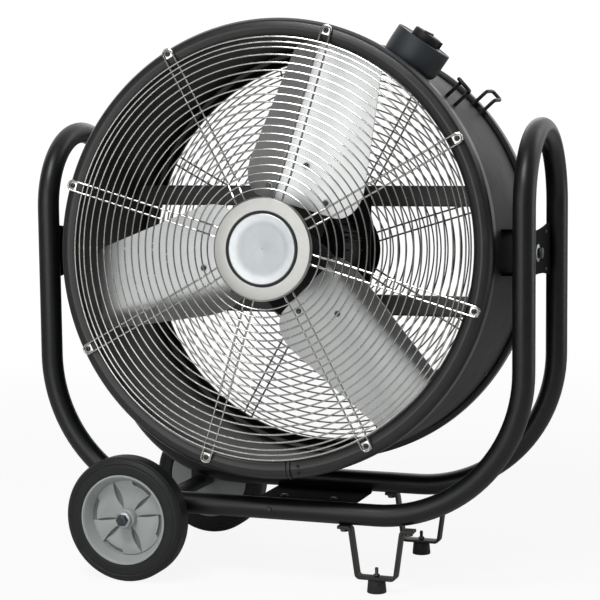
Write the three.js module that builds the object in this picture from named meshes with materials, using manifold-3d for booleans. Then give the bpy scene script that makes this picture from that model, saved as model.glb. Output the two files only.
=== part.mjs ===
// Drum fan in a tubular cradle frame: millimetres, +Z up, front towards -Y, wheels towards -X.
// The origin is on the floor, under the middle of the frame.
import * as THREE from "three";
import { mergeVertices } from "three/addons/utils/BufferGeometryUtils.js";
import Module from "manifold-3d";

const wasm = await Module();
wasm.setup();

// ---------------------------------------------------------------- driving dimensions

const GAP = 0.3; // clearance between pieces that touch

// Cradle frame, one loop of round tube
const TUBE_RADIUS = 17.5;
const TUBE_WALL = 2;
const LEG_SPAN = 796; // left leg to right leg, centre to centre
const RAIL_SPACING = 246; // front tube to rear tube, centre to centre
const RAIL_HEIGHT = 121; // tube centre above the floor
const FRAME_TOP = 721; // tube centre at the top of the side bends
const CORNER_RADIUS = 234;
const TUBE_SIDES = 10;
const BORE_SIDES = 6;
const CORNER_STEPS = 5;
const TOP_STEPS = 8;

// Plate between the rails
const BASE_PLATE_HALF_LENGTH = 85;
const BASE_PLATE_THICKNESS = 4; // its underside is level with that of the rails
const BASE_LIP_HEIGHT = 8.5;
const BASE_BOLT_X = 44;
const BASE_BOLT_Y = 24;

// Pivot of the drum
const PIVOT_HEIGHT = 527;
const REST_TILT = THREE.MathUtils.degToRad(4.2); // front of the drum raised
const PIVOT_BOLT_RADIUS = 6;
const PIVOT_PLATE_X = 385; // inner face
const PIVOT_PLATE_THICKNESS = 6;
const PIVOT_PLATE_HEIGHT = 84;
const TRUNNION_WEB = 376; // outer face of the bracket on the drum
const TRUNNION_WALL = 4;
const TRUNNION_HEIGHT = 72;
const TRUNNION_LENGTH = 120;

// Wheels
const WHEEL_RADIUS = 101.6;
const WHEEL_WIDTH = 40;
const WHEEL_X = -239.5;
const WHEEL_MID_Y = 177.5;
const AXLE_RADIUS = 12.5;
const WHEEL_SEGMENTS = 24;

// Feet under the other end
const FOOT_X = 166;
const FOOT_Y = 128;
const FOOT_PAD_HEIGHT = 20;
const FOOT_PAD_RADIUS = 15;
const STUD_RADIUS = 3;

// Drum
const SHELL_RADIUS = 350;
const SHELL_WALL = 1.5;
const SHELL_HALF = 148;
const DRUM_SEGMENTS = 32;
const HUB_SEGMENTS = 24;

// Grilles: distances forward of the pivot, seen from the front
const RING_FORWARD = 167.6; // ring wires lie on the front of the spokes
const SPOKE_FORWARD = 164.6;
const LOOP_RISE = 2.3; // the loops lie on the rim
const LEG_DROP = 0.6; // legs that pass just behind the middle rings, for fewer joints
const RING_PITCH = 24.34;
const FIRST_RING = 300.6;
const INNER_RINGS = 9;
const EDGE_RINGS = [328, 312];
const HUB_RING = 93.5;
const CLIP_RADIUS = 347;
const SPOKE_PAIRS = 8;
const SPOKE_HALF_PITCH = 7.7;
const FRONT_CLIP_PHASE = 29.15;
const REAR_CLIP_PHASE = 16.8;
const RING_WIRE_RADIUS = 1.9;
const SPOKE_WIRE_RADIUS = 2.3;

// Hub of each grille
const COLLAR_RADIUS = 81;
const HUB_RING_OUTER = 58.3;
const BADGE_RADIUS = 55;

// Fan
const BLADE_FORWARD = 90.7;
const BLADE_PITCH = 0.12; // rise per mm of chord
const BLADE_PHASE = 73.5;
const BLADE_TIP_RADIUS = 331;
const BLADE_ROOT = 72;
const BLADE_SHEET = 2.2;

// Motor
const MOTOR_RADIUS = 84;
const MOTOR_FRONT = 40;
const MOTOR_BACK = -82;
const BAR_HEIGHT = 34;
const BAR_OFFSET = 91; // above and below the axis
const BAR_FRONT = -88;
const BAR_DEPTH = 25;

// Speed control on the drum
const CONTROL_ANGLE = 55; // round the drum, from +X
const CONTROL_FORWARD = 85;
const CONTROL_RADIUS = 46.5;
const CONTROL_TOP = 398; // from the drum axis
const KNOB_RADIUS = 24;
const KNOB_HEIGHT = 13;

// Cord hooks on the drum
const HOOK_ANGLE = 42.3;
const HOOK_FORWARD = [42, -124];

// ---------------------------------------------------------------- materials

const finish = (color, roughness, metalness) =>
  new THREE.MeshStandardMaterial({ color, roughness, metalness });

const FRAME_PAINT = finish(0x24282a, 0.42, 0.3);
const DRUM_PAINT = finish(0x2a2d2e, 0.45, 0.3);
const BRACKET_PAINT = finish(0x3a3c38, 0.6, 0.4);
const WIRE = finish(0xd8dad4, 0.25, 0.9);
const BRUSHED = finish(0xd9d9d2, 0.32, 0.85);
const BADGE_SILVER = finish(0xccd1d4, 0.28, 0.6);
const BLADE_METAL = finish(0xb9bdbe, 0.36, 0.75);
const MOTOR_BLACK = finish(0x1b1c1d, 0.6, 0.4);
const ZINC = finish(0xa8adaf, 0.35, 0.9);
const HUB_PLASTIC = finish(0xa2a5a0, 0.55, 0);
const TYRE_RUBBER = finish(0x25282a, 0.8, 0);
const PAD_RUBBER = finish(0x3c3f3e, 0.85, 0);
const CONTROL_PLASTIC = finish(0x343b40, 0.5, 0);
const KNOB_PLASTIC = finish(0x232526, 0.6, 0);

// ---------------------------------------------------------------- solids and booleans

// A closed geometry as a manifold solid.
function solid(geometry) {
  const bare = geometry.clone();
  bare.deleteAttribute("normal");
  bare.deleteAttribute("uv");
  const merged = mergeVertices(bare, 1e-3);
  const vertProperties = new Float32Array(merged.attributes.position.array);
  const triVerts = new Uint32Array(merged.index.array);
  return new wasm.Manifold(new wasm.Mesh({ numProp: 3, vertProperties, triVerts }));
}

// A manifold solid as a geometry.
function geometryOf(shape) {
  const mesh = shape.getMesh();
  const geometry = new THREE.BufferGeometry();
  geometry.setAttribute("position", new THREE.BufferAttribute(mesh.vertProperties, 3));
  geometry.setIndex(new THREE.BufferAttribute(mesh.triVerts, 1));
  return geometry;
}

const joined = (...parts) => geometryOf(parts.map(solid).reduce((sum, next) => sum.add(next)));

const cutBy = (body, ...tools) =>
  geometryOf(tools.map(solid).reduce((rest, tool) => rest.subtract(tool), solid(body)));

const common = (a, b) => geometryOf(solid(a).intersect(solid(b)));

// ---------------------------------------------------------------- shape helpers

const v2 = (x, y) => new THREE.Vector2(x, y);
const v3 = (x, y, z) => new THREE.Vector3(x, y, z);
const radians = THREE.MathUtils.degToRad;

function named(name, geometry, material) {
  const mesh = new THREE.Mesh(geometry, material);
  mesh.name = name;
  return mesh;
}

// A regular polygon that stands for a circle.
function polygon(radius, sides, turn = 0) {
  const corners = [];
  for (let i = 0; i < sides; i++) {
    const angle = turn + (i * 2 * Math.PI) / sides;
    corners.push(v2(radius * Math.cos(angle), radius * Math.sin(angle)));
  }
  return corners;
}

// Revolves a closed profile of [radius, height] points about Y.
function revolve(profile, segments) {
  const points = profile.map(([r, h]) => v2(r, h));
  if (THREE.ShapeUtils.area(points) < 0) points.reverse();
  const onAxis = points[0].x === 0 && points[points.length - 1].x === 0;
  if (!onAxis) points.push(points[0].clone());
  return new THREE.LatheGeometry(points, segments);
}

// The same about Z, for pieces that stand upright.
const revolveUp = (profile, segments) => revolve(profile, segments).rotateX(Math.PI / 2);

// A closed profile for sheet metal that follows a centre line of [radius, height] points.
function sheetProfile(line, thickness) {
  const points = line.map(([r, h]) => v2(r, h));
  const across = points.slice(1).map((next, i) => {
    const along = next.clone().sub(points[i]);
    return v2(-along.y, along.x).normalize();
  });
  const normals = points.map((_, i) => {
    const before = across[Math.max(i - 1, 0)];
    const after = across[Math.min(i, across.length - 1)];
    const middle = before.clone().add(after).normalize();
    return middle.multiplyScalar(1 / Math.max(middle.dot(before), 0.5));
  });
  const side = (sign) =>
    points.map((p, i) => {
      const moved = p.clone().addScaledVector(normals[i], (sign * thickness) / 2);
      return [Math.max(moved.x, 0), moved.y];
    });
  return [...side(1), ...side(-1).reverse()];
}

const extruded = (corners, depth, holes = []) => {
  const shape = new THREE.Shape(corners);
  holes.forEach((hole) => shape.holes.push(new THREE.Path(hole)));
  return new THREE.ExtrudeGeometry(shape, { depth, bevelEnabled: false });
};

function block(x0, x1, y0, y1, z0, z1) {
  const box = new THREE.BoxGeometry(x1 - x0, y1 - y0, z1 - z0);
  return box.translate((x0 + x1) / 2, (y0 + y1) / 2, (z0 + z1) / 2);
}

// A round bar along Y from y0 to y1.
function barY(radius, y0, y1, sides = 16, x = 0, z = 0) {
  return new THREE.CylinderGeometry(radius, radius, y1 - y0, sides).translate(x, (y0 + y1) / 2, z);
}

// A round bar along X from x0 to x1.
function barX(radius, x0, x1, sides = 16, y = 0, z = 0) {
  const bar = new THREE.CylinderGeometry(radius, radius, x1 - x0, sides).rotateZ(Math.PI / 2);
  return bar.translate((x0 + x1) / 2, y, z);
}

// A round bar along Z from z0 to z1.
function barZ(radius, z0, z1, sides = 12, x = 0, y = 0) {
  const bar = new THREE.CylinderGeometry(radius, radius, z1 - z0, sides).rotateX(Math.PI / 2);
  return bar.translate(x, y, (z0 + z1) / 2);
}

// A path known only at its stations, so a straight run takes one step and a bend takes several.
class StationPath extends THREE.Curve {
  constructor(stations) {
    super();
    this.stations = stations;
  }
  at(u) {
    return this.stations[Math.round(u * (this.stations.length - 1))];
  }
  getPointAt(u, target = new THREE.Vector3()) {
    return target.copy(this.at(u).point);
  }
  getTangentAt(u, target = new THREE.Vector3()) {
    return target.copy(this.at(u).tangent);
  }
}

// Stations of an arc about a centre, from one radius vector towards another, perpendicular one.
function arcStations(centre, from, to, angle, steps) {
  const stations = [];
  for (let i = 0; i <= steps; i++) {
    const a = (angle * i) / steps;
    const point = centre.clone().addScaledVector(from, Math.cos(a)).addScaledVector(to, Math.sin(a));
    const tangent = from.clone().multiplyScalar(-Math.sin(a)).addScaledVector(to, Math.cos(a));
    stations.push({ point, tangent: tangent.normalize() });
  }
  return stations;
}

const station = (point, tangent) => ({ point, tangent: tangent.clone().normalize() });

function swept(section, stations, holes = []) {
  const shape = new THREE.Shape(section);
  holes.forEach((hole) => shape.holes.push(new THREE.Path(hole)));
  const steps = stations.length - 1;
  const extrudePath = new StationPath(stations);
  return new THREE.ExtrudeGeometry(shape, { steps, extrudePath, bevelEnabled: false });
}

// A rounded path through corner points, as stations.
function bentStations(corners, bend, steps) {
  const stations = [];
  corners.forEach((corner, i) => {
    if (i === 0 || i === corners.length - 1) {
      const other = corners[i === 0 ? 1 : i - 1];
      const along = i === 0 ? other.clone().sub(corner) : corner.clone().sub(other);
      stations.push(station(corner, along));
      return;
    }
    const into = corner.clone().sub(corners[i - 1]).normalize();
    const out = corners[i + 1].clone().sub(corner).normalize();
    const turn = into.angleTo(out);
    const inward = out.clone().sub(into).normalize();
    const centre = corner.clone().addScaledVector(inward, bend / Math.cos(turn / 2));
    const reach = bend * Math.tan(turn / 2);
    const from = corner.clone().addScaledVector(into, -reach).sub(centre);
    stations.push(...arcStations(centre, from, into.clone().multiplyScalar(bend), turn, steps));
  });
  return stations;
}

// ---------------------------------------------------------------- cradle frame

// Half of the loop: front rail, corner, front leg, side bend, rear leg, corner, rear rail.
function frameStations(side) {
  const legX = (side * LEG_SPAN) / 2;
  const cornerX = legX - side * CORNER_RADIUS;
  const cornerZ = RAIL_HEIGHT + CORNER_RADIUS;
  const halfSpacing = RAIL_SPACING / 2;
  const outward = v3(side * CORNER_RADIUS, 0, 0);
  const down = v3(0, 0, -CORNER_RADIUS);
  const frontCorner = v3(cornerX, -halfSpacing, cornerZ);
  const rearCorner = v3(cornerX, halfSpacing, cornerZ);
  const bendCentre = v3(legX, 0, FRAME_TOP - halfSpacing);
  return [
    station(v3((side * GAP) / 2, -halfSpacing, RAIL_HEIGHT), outward),
    ...arcStations(frontCorner, down, outward, Math.PI / 2, CORNER_STEPS),
    ...arcStations(bendCentre, v3(0, -halfSpacing, 0), v3(0, 0, halfSpacing), Math.PI, TOP_STEPS),
    ...arcStations(rearCorner, outward, down, Math.PI / 2, CORNER_STEPS),
    station(v3((side * GAP) / 2, halfSpacing, RAIL_HEIGHT), v3(-side, 0, 0)),
  ];
}

function frameHalf(side) {
  const section = polygon(TUBE_RADIUS, TUBE_SIDES);
  const bore = polygon(TUBE_RADIUS - TUBE_WALL, BORE_SIDES, Math.PI / BORE_SIDES);
  return swept(section, frameStations(side), [bore]);
}

// A spigot inside the two halves where they meet in the middle of a rail.
function railSpigot(y) {
  const radius = (TUBE_RADIUS - TUBE_WALL) * Math.cos(Math.PI / BORE_SIDES) - 2 * GAP;
  return barX(radius, -55, 55, 12, y, RAIL_HEIGHT);
}

// Plate between the legs of one side: its top and bottom edges are drawn in between the tubes.
function pivotPlate(side) {
  const x = PIVOT_PLATE_X + PIVOT_PLATE_THICKNESS / 2;
  const tubeReach = Math.sqrt(TUBE_RADIUS ** 2 - (LEG_SPAN / 2 - x - PIVOT_PLATE_THICKNESS / 2) ** 2);
  const halfLength = RAIL_SPACING / 2 - tubeReach - GAP;
  const half = PIVOT_PLATE_HEIGHT / 2;
  const waist = half - 15;
  const outline = new THREE.Shape();
  outline.moveTo(-halfLength, -half);
  outline.quadraticCurveTo(0, -2 * waist + half, halfLength, -half);
  outline.lineTo(halfLength, half);
  outline.quadraticCurveTo(0, 2 * waist - half, -halfLength, half);
  outline.closePath();
  outline.holes.push(new THREE.Path(polygon(PIVOT_BOLT_RADIUS + GAP, 16)));
  const options = { depth: PIVOT_PLATE_THICKNESS, bevelEnabled: false, curveSegments: 8 };
  const plate = new THREE.ExtrudeGeometry(outline, options);
  plate.rotateX(Math.PI / 2).rotateZ(Math.PI / 2);
  return plate.translate(side * x - PIVOT_PLATE_THICKNESS / 2, 0, PIVOT_HEIGHT);
}

// Bolt, outer washer and inner nut that clamp a trunnion to its pivot plate.
function pivotBolt(side) {
  const plateFace = PIVOT_PLATE_X + PIVOT_PLATE_THICKNESS + GAP;
  const webFace = TRUNNION_WEB - TRUNNION_WALL - GAP;
  const shank = barX(PIVOT_BOLT_RADIUS, webFace - 12, plateFace + 1, 10);
  const washer = barX(13, plateFace, plateFace + 2.5, 14);
  const head = barX(9.5, plateFace + 2, plateFace + 9, 6);
  const nut = barX(9.5, webFace - 8, webFace, 6);
  const bolt = joined(shank, washer, head, nut);
  if (side < 0) bolt.rotateZ(Math.PI);
  return bolt.translate(0, 0, PIVOT_HEIGHT);
}

// Friction washer between trunnion and pivot plate.
function pivotWasher(side) {
  const inner = TRUNNION_WEB + GAP;
  const outer = PIVOT_PLATE_X - GAP;
  const profile = [
    [PIVOT_BOLT_RADIUS + GAP, inner],
    [22, inner],
    [22, outer],
    [PIVOT_BOLT_RADIUS + GAP, outer],
  ];
  const washer = revolve(profile, 14).rotateZ(-Math.PI / 2);
  if (side < 0) washer.rotateZ(Math.PI);
  return washer.translate(0, 0, PIVOT_HEIGHT);
}

// Plate low between the two rails, with its long edges turned up against them.
function basePlate() {
  const bottom = RAIL_HEIGHT - TUBE_RADIUS;
  const lipTop = bottom + BASE_LIP_HEIGHT;
  const reach = Math.sqrt(TUBE_RADIUS ** 2 - (lipTop - RAIL_HEIGHT) ** 2);
  const half = RAIL_SPACING / 2 - reach - GAP;
  const length = BASE_PLATE_HALF_LENGTH;
  const outside = block(-length, length, -half, half, bottom, lipTop);
  const inner = half - BASE_PLATE_THICKNESS;
  const floor = bottom + BASE_PLATE_THICKNESS;
  return cutBy(outside, block(-length - 1, length + 1, -inner, inner, floor, lipTop + 1));
}

// Bolt on the base plate: washer and hexagon head.
function baseBolt(x, y) {
  const seat = RAIL_HEIGHT - TUBE_RADIUS + BASE_PLATE_THICKNESS + GAP;
  const washer = barZ(7, seat, seat + 1.5, 10);
  const head = barZ(5.5, seat + 1, seat + 5, 6);
  return joined(washer, head).translate(x, y, 0);
}

// ---------------------------------------------------------------- feet

// U-shaped flat bar with out-turned flanges under the rail.
function footBracket() {
  const top = RAIL_HEIGHT - TUBE_RADIUS - GAP;
  const low = FOOT_PAD_HEIGHT + GAP;
  const bar = 4.5;
  const outer = [
    v2(-62, top),
    v2(-62, top - bar),
    v2(-44, top - bar),
    v2(-34, low + 5),
    v2(-29, low),
    v2(29, low),
    v2(34, low + 5),
    v2(44, top - bar),
    v2(62, top - bar),
    v2(62, top),
    v2(39.5, top),
    v2(29.5, low + bar + 3),
    v2(27, low + bar),
    v2(-27, low + bar),
    v2(-29.5, low + bar + 3),
    v2(-39.5, top),
  ];
  const bent = extruded(outer, 20).rotateX(Math.PI / 2).translate(0, 10, 0);
  return cutBy(bent, barZ(STUD_RADIUS + GAP, low - 5, low + 15, 10));
}

// Rubber pad, wider at the floor.
function footPad() {
  const profile = [
    [0, 0],
    [FOOT_PAD_RADIUS, 0],
    [FOOT_PAD_RADIUS + 0.5, 2],
    [FOOT_PAD_RADIUS - 1.2, FOOT_PAD_HEIGHT],
    [0, FOOT_PAD_HEIGHT],
  ];
  const socket = barZ(STUD_RADIUS + GAP, 8, FOOT_PAD_HEIGHT + 1, 10);
  return cutBy(revolveUp(profile, 16), socket);
}

// Threaded stud of the pad with its nut on the bracket.
function footStud() {
  const seat = FOOT_PAD_HEIGHT + 2 * GAP + 4.5;
  const stud = barZ(STUD_RADIUS, 8 + GAP, seat + 15, 10);
  const nut = barZ(5.5, seat + GAP, seat + 4, 6);
  return joined(stud, nut);
}

// Bolt that holds a bracket flange up against the rail.
function footBolt() {
  const face = RAIL_HEIGHT - TUBE_RADIUS - 2 * GAP - 4.5;
  const head = barZ(6.5, face - 4.5, face - 1, 6);
  const washer = barZ(8, face - 1.3, face, 12);
  return joined(head, washer);
}

// ---------------------------------------------------------------- wheels

function wheelAxle() {
  const half = WHEEL_MID_Y - WHEEL_WIDTH / 2 - 2;
  const tube = barY(AXLE_RADIUS, -half, half, 16);
  const stub = WHEEL_MID_Y + WHEEL_WIDTH / 2 - 5;
  const spindle = barY(8, -stub, stub, 12);
  return joined(tube, spindle);
}

// Block that is welded between the axle and the tube bend above it.
function axleSaddle(side) {
  const y = (side * RAIL_SPACING) / 2;
  const saddle = block(WHEEL_X - 13, WHEEL_X + 13, y - 12, y + 12, WHEEL_RADIUS, WHEEL_RADIUS + 26);
  const axle = barY(AXLE_RADIUS + GAP, y - 20, y + 20, 16, WHEEL_X, WHEEL_RADIUS);
  const arc = arcStations(
    v3(-LEG_SPAN / 2 + CORNER_RADIUS, y, RAIL_HEIGHT + CORNER_RADIUS),
    v3(-CORNER_RADIUS, 0, 0),
    v3(0, 0, -CORNER_RADIUS),
    Math.PI / 2,
    CORNER_STEPS,
  );
  const tube = swept(polygon((TUBE_RADIUS + GAP) / Math.cos(Math.PI / 20), 20), arc);
  return cutBy(saddle, axle, tube);
}

// Moulded disc: barrel, dished web, boss and six leaf-shaped ribs.
function wheelDisc() {
  const half = WHEEL_WIDTH / 2;
  const bore = 8 + GAP;
  const profile = [
    [bore, -half + 1],
    [17, -half + 1],
    [17, -1],
    [62, 2],
    [64, -half + 1],
    [73.6, -half + 1],
    [69, -half + 6],
    [69, half - 6],
    [73.8, half - 2],
    [72.5, half],
    [66, half - 3],
    [64, 7],
    [17, 6],
    [17, half - 5],
    [bore, half - 5],
  ];
  const disc = revolve(profile, WHEEL_SEGMENTS);
  const leaf = [v2(15, -1), v2(38, -4), v2(65, -1), v2(65, 1), v2(38, 4), v2(15, 1)];
  const ribs = [];
  for (let i = 0; i < 6; i++) {
    const rib = extruded(leaf, 10).rotateX(-Math.PI / 2).translate(0, 4, 0);
    ribs.push(rib.rotateY(radians(60 * i + 5)));
  }
  return joined(disc, ...ribs);
}

function tyre() {
  const half = WHEEL_WIDTH / 2;
  const profile = [
    [69.3, -half + 6.3],
    [69.3, half - 6.3],
    [75, half - 1],
    [92, half],
    [99, half - 5],
    [WHEEL_RADIUS, half - 12],
    [WHEEL_RADIUS, -half + 12],
    [99, -half + 5],
    [92, -half],
    [75, -half + 1],
  ];
  return revolve(profile, WHEEL_SEGMENTS);
}

// Bolt head with its washer, on the end of the spindle.
function wheelBolt() {
  const seat = WHEEL_WIDTH / 2 - 5 + GAP;
  const profile = [
    [0, seat],
    [12, seat],
    [12, seat + 2],
    [9, seat + 2],
    [9, seat + 9],
    [0, seat + 9],
  ];
  return revolve(profile, 6);
}

// ---------------------------------------------------------------- drum

function drumShell() {
  const profile = [
    [SHELL_RADIUS - SHELL_WALL, -SHELL_HALF],
    [SHELL_RADIUS, -SHELL_HALF],
    [SHELL_RADIUS, SHELL_HALF],
    [SHELL_RADIUS - SHELL_WALL, SHELL_HALF],
  ];
  return revolve(profile, DRUM_SEGMENTS);
}

// Rolled rim: a step up from the shell, a flat band and a rounded face that turns in.
function rim(forward) {
  const line = [
    [SHELL_RADIUS + 1.4, 133],
    [358, 133],
    [358, 151],
    [352, 160],
    [342, 163],
    [331, 158],
    [328.2, 148],
  ];
  const profile = sheetProfile(line, 2).map(([r, f]) => [r, -forward * f]);
  return revolve(profile, DRUM_SEGMENTS);
}

// How far forward of the pivot a spoke lies at a radius: it rises to the hub and drops to the rim.
function spokeForward(radius) {
  const rise = THREE.MathUtils.smoothstep(118 - radius, 0, 26);
  return SPOKE_FORWARD + 6.6 * rise;
}

// A pair of spokes bent from one wire, with the loop round its screw on the rim.
function hairpin(firstDrop) {
  const place = (r, s, drop) => v3(r, drop - spokeForward(r), s);
  const leg = (s, drop) => {
    const points = [78, 94, 117, 318].map((r) => place(r, s, drop));
    return points.map((point, i) => {
      const last = points[Math.max(i - 1, 0)];
      const next = points[Math.min(i + 1, 2)];
      const along = i < 3 ? next.clone().sub(last) : v3(1, 0, 0);
      return station(point, along);
    });
  };
  const loopCentre = v3(CLIP_RADIUS, -SPOKE_FORWARD - LOOP_RISE, 0);
  const side = v3(0, 0, SPOKE_HALF_PITCH);
  const reach = v3(SPOKE_HALF_PITCH, 0, 0);
  const back = leg(-SPOKE_HALF_PITCH, 2 * LEG_DROP).reverse();
  back.forEach((at) => at.tangent.negate());
  const loop = arcStations(loopCentre, side, reach, Math.PI, 4);
  const stations = [...leg(SPOKE_HALF_PITCH, firstDrop), ...loop, ...back];
  return swept(polygon(SPOKE_WIRE_RADIUS, 4, Math.PI / 4), stations);
}

function wireRing(radius, forward, sides) {
  const profile = polygon(RING_WIRE_RADIUS, 3, Math.PI / 2).map((p) => [radius + p.x, p.y - forward]);
  return revolve(profile, sides);
}

// Guard of concentric rings on hairpin spokes. Every ring is welded to two opposite pairs,
// and the edge and hub rings to all of them.
function grille(phase) {
  const parts = [];
  for (let i = 0; i < SPOKE_PAIRS; i++) {
    const turn = -radians(phase + (360 / SPOKE_PAIRS) * i);
    const welded = i % (SPOKE_PAIRS / 2) === 0;
    parts.push(hairpin(welded ? 0 : LEG_DROP).rotateY(turn));
  }
  const addRing = (radius, drop) => {
    const sides = radius > 200 ? DRUM_SEGMENTS - 8 : HUB_SEGMENTS - 4;
    const lift = spokeForward(radius) - SPOKE_FORWARD;
    parts.push(wireRing(radius, RING_FORWARD + lift - drop, sides));
  };
  addRing(HUB_RING, LEG_DROP);
  EDGE_RINGS.forEach((radius, i) => addRing(radius, i === 0 ? 0 : LEG_DROP));
  for (let i = 0; i < INNER_RINGS; i++) addRing(FIRST_RING - RING_PITCH * i, 0);
  return joined(...parts);
}

// Pressed cap over the inner ends of the spokes.
function hubCollar() {
  const profile = [
    [0, 174.9],
    [COLLAR_RADIUS, 174.9],
    [COLLAR_RADIUS, 178.5],
    [COLLAR_RADIUS - 3, 181],
    [HUB_RING_OUTER + GAP, 182],
    [HUB_RING_OUTER + GAP, 176.4],
    [0, 176.4],
  ];
  return revolve(profile.map(([r, f]) => [r, -f]), HUB_SEGMENTS);
}

function hubRing() {
  const profile = [
    [BADGE_RADIUS + GAP, 176.7],
    [HUB_RING_OUTER, 176.7],
    [HUB_RING_OUTER, 182],
    [BADGE_RADIUS + GAP, 182],
  ];
  return revolve(profile.map(([r, f]) => [r, -f]), HUB_SEGMENTS);
}

// Plain dished disc.
function hubBadge() {
  const profile = [
    [0, 176.8],
    [BADGE_RADIUS, 176.8],
    [BADGE_RADIUS, 182.4],
    [BADGE_RADIUS - 3, 182.6],
    [BADGE_RADIUS - 15, 181],
    [0, 180],
  ];
  return revolve(profile.map(([r, f]) => [r, -f]), HUB_SEGMENTS);
}

// Plain disc over the inner ends of the rear spokes.
function rearHubCap() {
  const profile = [
    [0, 174.9],
    [COLLAR_RADIUS, 174.9],
    [COLLAR_RADIUS, 177],
    [COLLAR_RADIUS - 3, 179],
    [0, 179],
  ];
  return revolve(profile.map(([r, f]) => [r, -f]), HUB_SEGMENTS);
}

// Turns a piece of the front round to the back of the drum.
const toRear = (geometry) => geometry.rotateX(Math.PI);

// Channel bracket that carries the drum on its pivot.
function trunnion(side) {
  const half = TRUNNION_HEIGHT / 2;
  const wall = TRUNNION_WALL;
  const web = TRUNNION_WEB;
  const inner = SHELL_RADIUS - 20;
  const section = [
    v2(inner, -half),
    v2(web, -half),
    v2(web, half),
    v2(inner, half),
    v2(inner, half - wall),
    v2(web - wall, half - wall),
    v2(web - wall, -half + wall),
    v2(inner, -half + wall),
  ];
  const channel = extruded(section, TRUNNION_LENGTH).rotateX(Math.PI / 2);
  channel.translate(0, TRUNNION_LENGTH / 2, 0);
  const shell = barY(SHELL_RADIUS + GAP, -80, 80, DRUM_SEGMENTS);
  const hole = barX(PIVOT_BOLT_RADIUS + GAP, web - 10, web + 5, 16);
  const bracket = cutBy(channel, shell, hole);
  return side < 0 ? bracket.rotateY(Math.PI) : bracket;
}

// Motor can with a stepped front cover.
function motorBody() {
  const profile = [
    [0, MOTOR_FRONT],
    [26, MOTOR_FRONT],
    [30, MOTOR_FRONT - 8],
    [68, MOTOR_FRONT - 14],
    [MOTOR_RADIUS, MOTOR_FRONT - 26],
    [MOTOR_RADIUS, MOTOR_BACK + 8],
    [MOTOR_RADIUS - 8, MOTOR_BACK],
    [0, MOTOR_BACK],
  ];
  return revolve(profile.map(([r, f]) => [r, -f]), HUB_SEGMENTS);
}

// Plate between the motor and its two bars.
function motorPlate() {
  const thickness = 5;
  const quarter = [v2(92, 86), v2(70, 112)];
  const upper = [...quarter, ...quarter.toReversed().map((p) => v2(-p.x, p.y))];
  const outline = [...upper, ...upper.map((p) => v2(-p.x, -p.y))];
  const plate = extruded(outline, thickness).rotateX(Math.PI / 2);
  return plate.translate(0, -MOTOR_BACK + GAP + thickness, 0);
}

// Channel across the drum that carries the motor, open to the back.
function motorBar(side) {
  const wall = 3;
  const half = BAR_HEIGHT / 2;
  const front = -BAR_FRONT;
  const back = front + BAR_DEPTH;
  const reach = SHELL_RADIUS;
  const middle = side * BAR_OFFSET;
  const outside = block(-reach, reach, front, back, middle - half, middle + half);
  const [low, high] = [middle - half + wall, middle + half - wall];
  const inside = block(-reach - 1, reach + 1, front + wall, back + 1, low, high);
  const bore = barY(SHELL_RADIUS - SHELL_WALL - GAP, 0, back + 20, DRUM_SEGMENTS);
  return common(cutBy(outside, inside), bore);
}

// ---------------------------------------------------------------- fan

// Height of the blade sheet over the plane of the fan, at a distance along the chord.
function bladeForward(chord) {
  const bent = Math.max(chord - 18, 0) / 62;
  return BLADE_FORWARD + BLADE_PITCH * chord + 30 * bent ** 1.6;
}

// One blade: a tapered sheet with rounded corners, one long edge bent forward.
function fanBlade() {
  const stations = [72, 80, 98, 132, 220, 308, 331];
  const across = 6;
  const edges = stations.map((u) => {
    const t = (u - BLADE_ROOT) / (BLADE_TIP_RADIUS - BLADE_ROOT);
    const rootRound = 44 * (1 - Math.sqrt(Math.max(1 - ((132 - Math.min(u, 132)) / 60) ** 2, 0)));
    const tipRound = 20 * Math.max((u - 308) / 23, 0) ** 2;
    const low = -(108 - 38 * t) + rootRound + tipRound;
    const high = 84 - 22 * t - 0.7 * rootRound - tipRound;
    return [low, high];
  });
  const grid = stations.map((u, i) => {
    const [low, high] = edges[i];
    const row = [];
    for (let j = 0; j <= across; j++) {
      const chord = low + ((high - low) * j) / across;
      const reach = Math.min(u, Math.sqrt(BLADE_TIP_RADIUS ** 2 - chord ** 2));
      row.push([reach, chord]);
    }
    return row;
  });
  return sheetFromGrid(grid);
}

// A thin closed sheet over a grid of [radius, chord] points.
function sheetFromGrid(grid) {
  const rows = grid.length;
  const columns = grid[0].length;
  const positions = [];
  for (const offset of [BLADE_SHEET / 2, -BLADE_SHEET / 2]) {
    grid.flat().forEach(([u, chord]) => positions.push(u, -bladeForward(chord) - offset, chord));
  }
  const back = rows * columns;
  const index = [];
  const quad = (a, b, c, d) => index.push(a, b, c, a, c, d);
  for (let i = 0; i < rows - 1; i++) {
    for (let j = 0; j < columns - 1; j++) {
      const a = i * columns + j;
      const b = a + columns;
      quad(a, b, b + 1, a + 1);
      quad(back + a, back + a + 1, back + b + 1, back + b);
    }
  }
  const edge = [];
  for (let j = 0; j < columns - 1; j++) edge.push(j);
  for (let i = 0; i < rows - 1; i++) edge.push(i * columns + columns - 1);
  for (let j = columns - 1; j > 0; j--) edge.push((rows - 1) * columns + j);
  for (let i = rows - 1; i > 0; i--) edge.push(i * columns);
  edge.forEach((a, k) => {
    const b = edge[(k + 1) % edge.length];
    quad(a, b, back + b, back + a);
  });
  const geometry = new THREE.BufferGeometry();
  geometry.setAttribute("position", new THREE.Float32BufferAttribute(positions, 3));
  geometry.setIndex(index);
  if (solid(geometry).volume() < 0) index.reverse();
  return geometry.setIndex(index);
}

// Three bolt heads on the front of a blade.
function bladeBolts() {
  const places = [
    [138, 0],
    [90.5, 47],
    [90.5, -47],
  ];
  return places.map(([u, chord]) => {
    const face = bladeForward(chord) + BLADE_SHEET / 2;
    return barY(5.5, -face - 4, -face + 0.8, 6, u, chord);
  });
}

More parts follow.
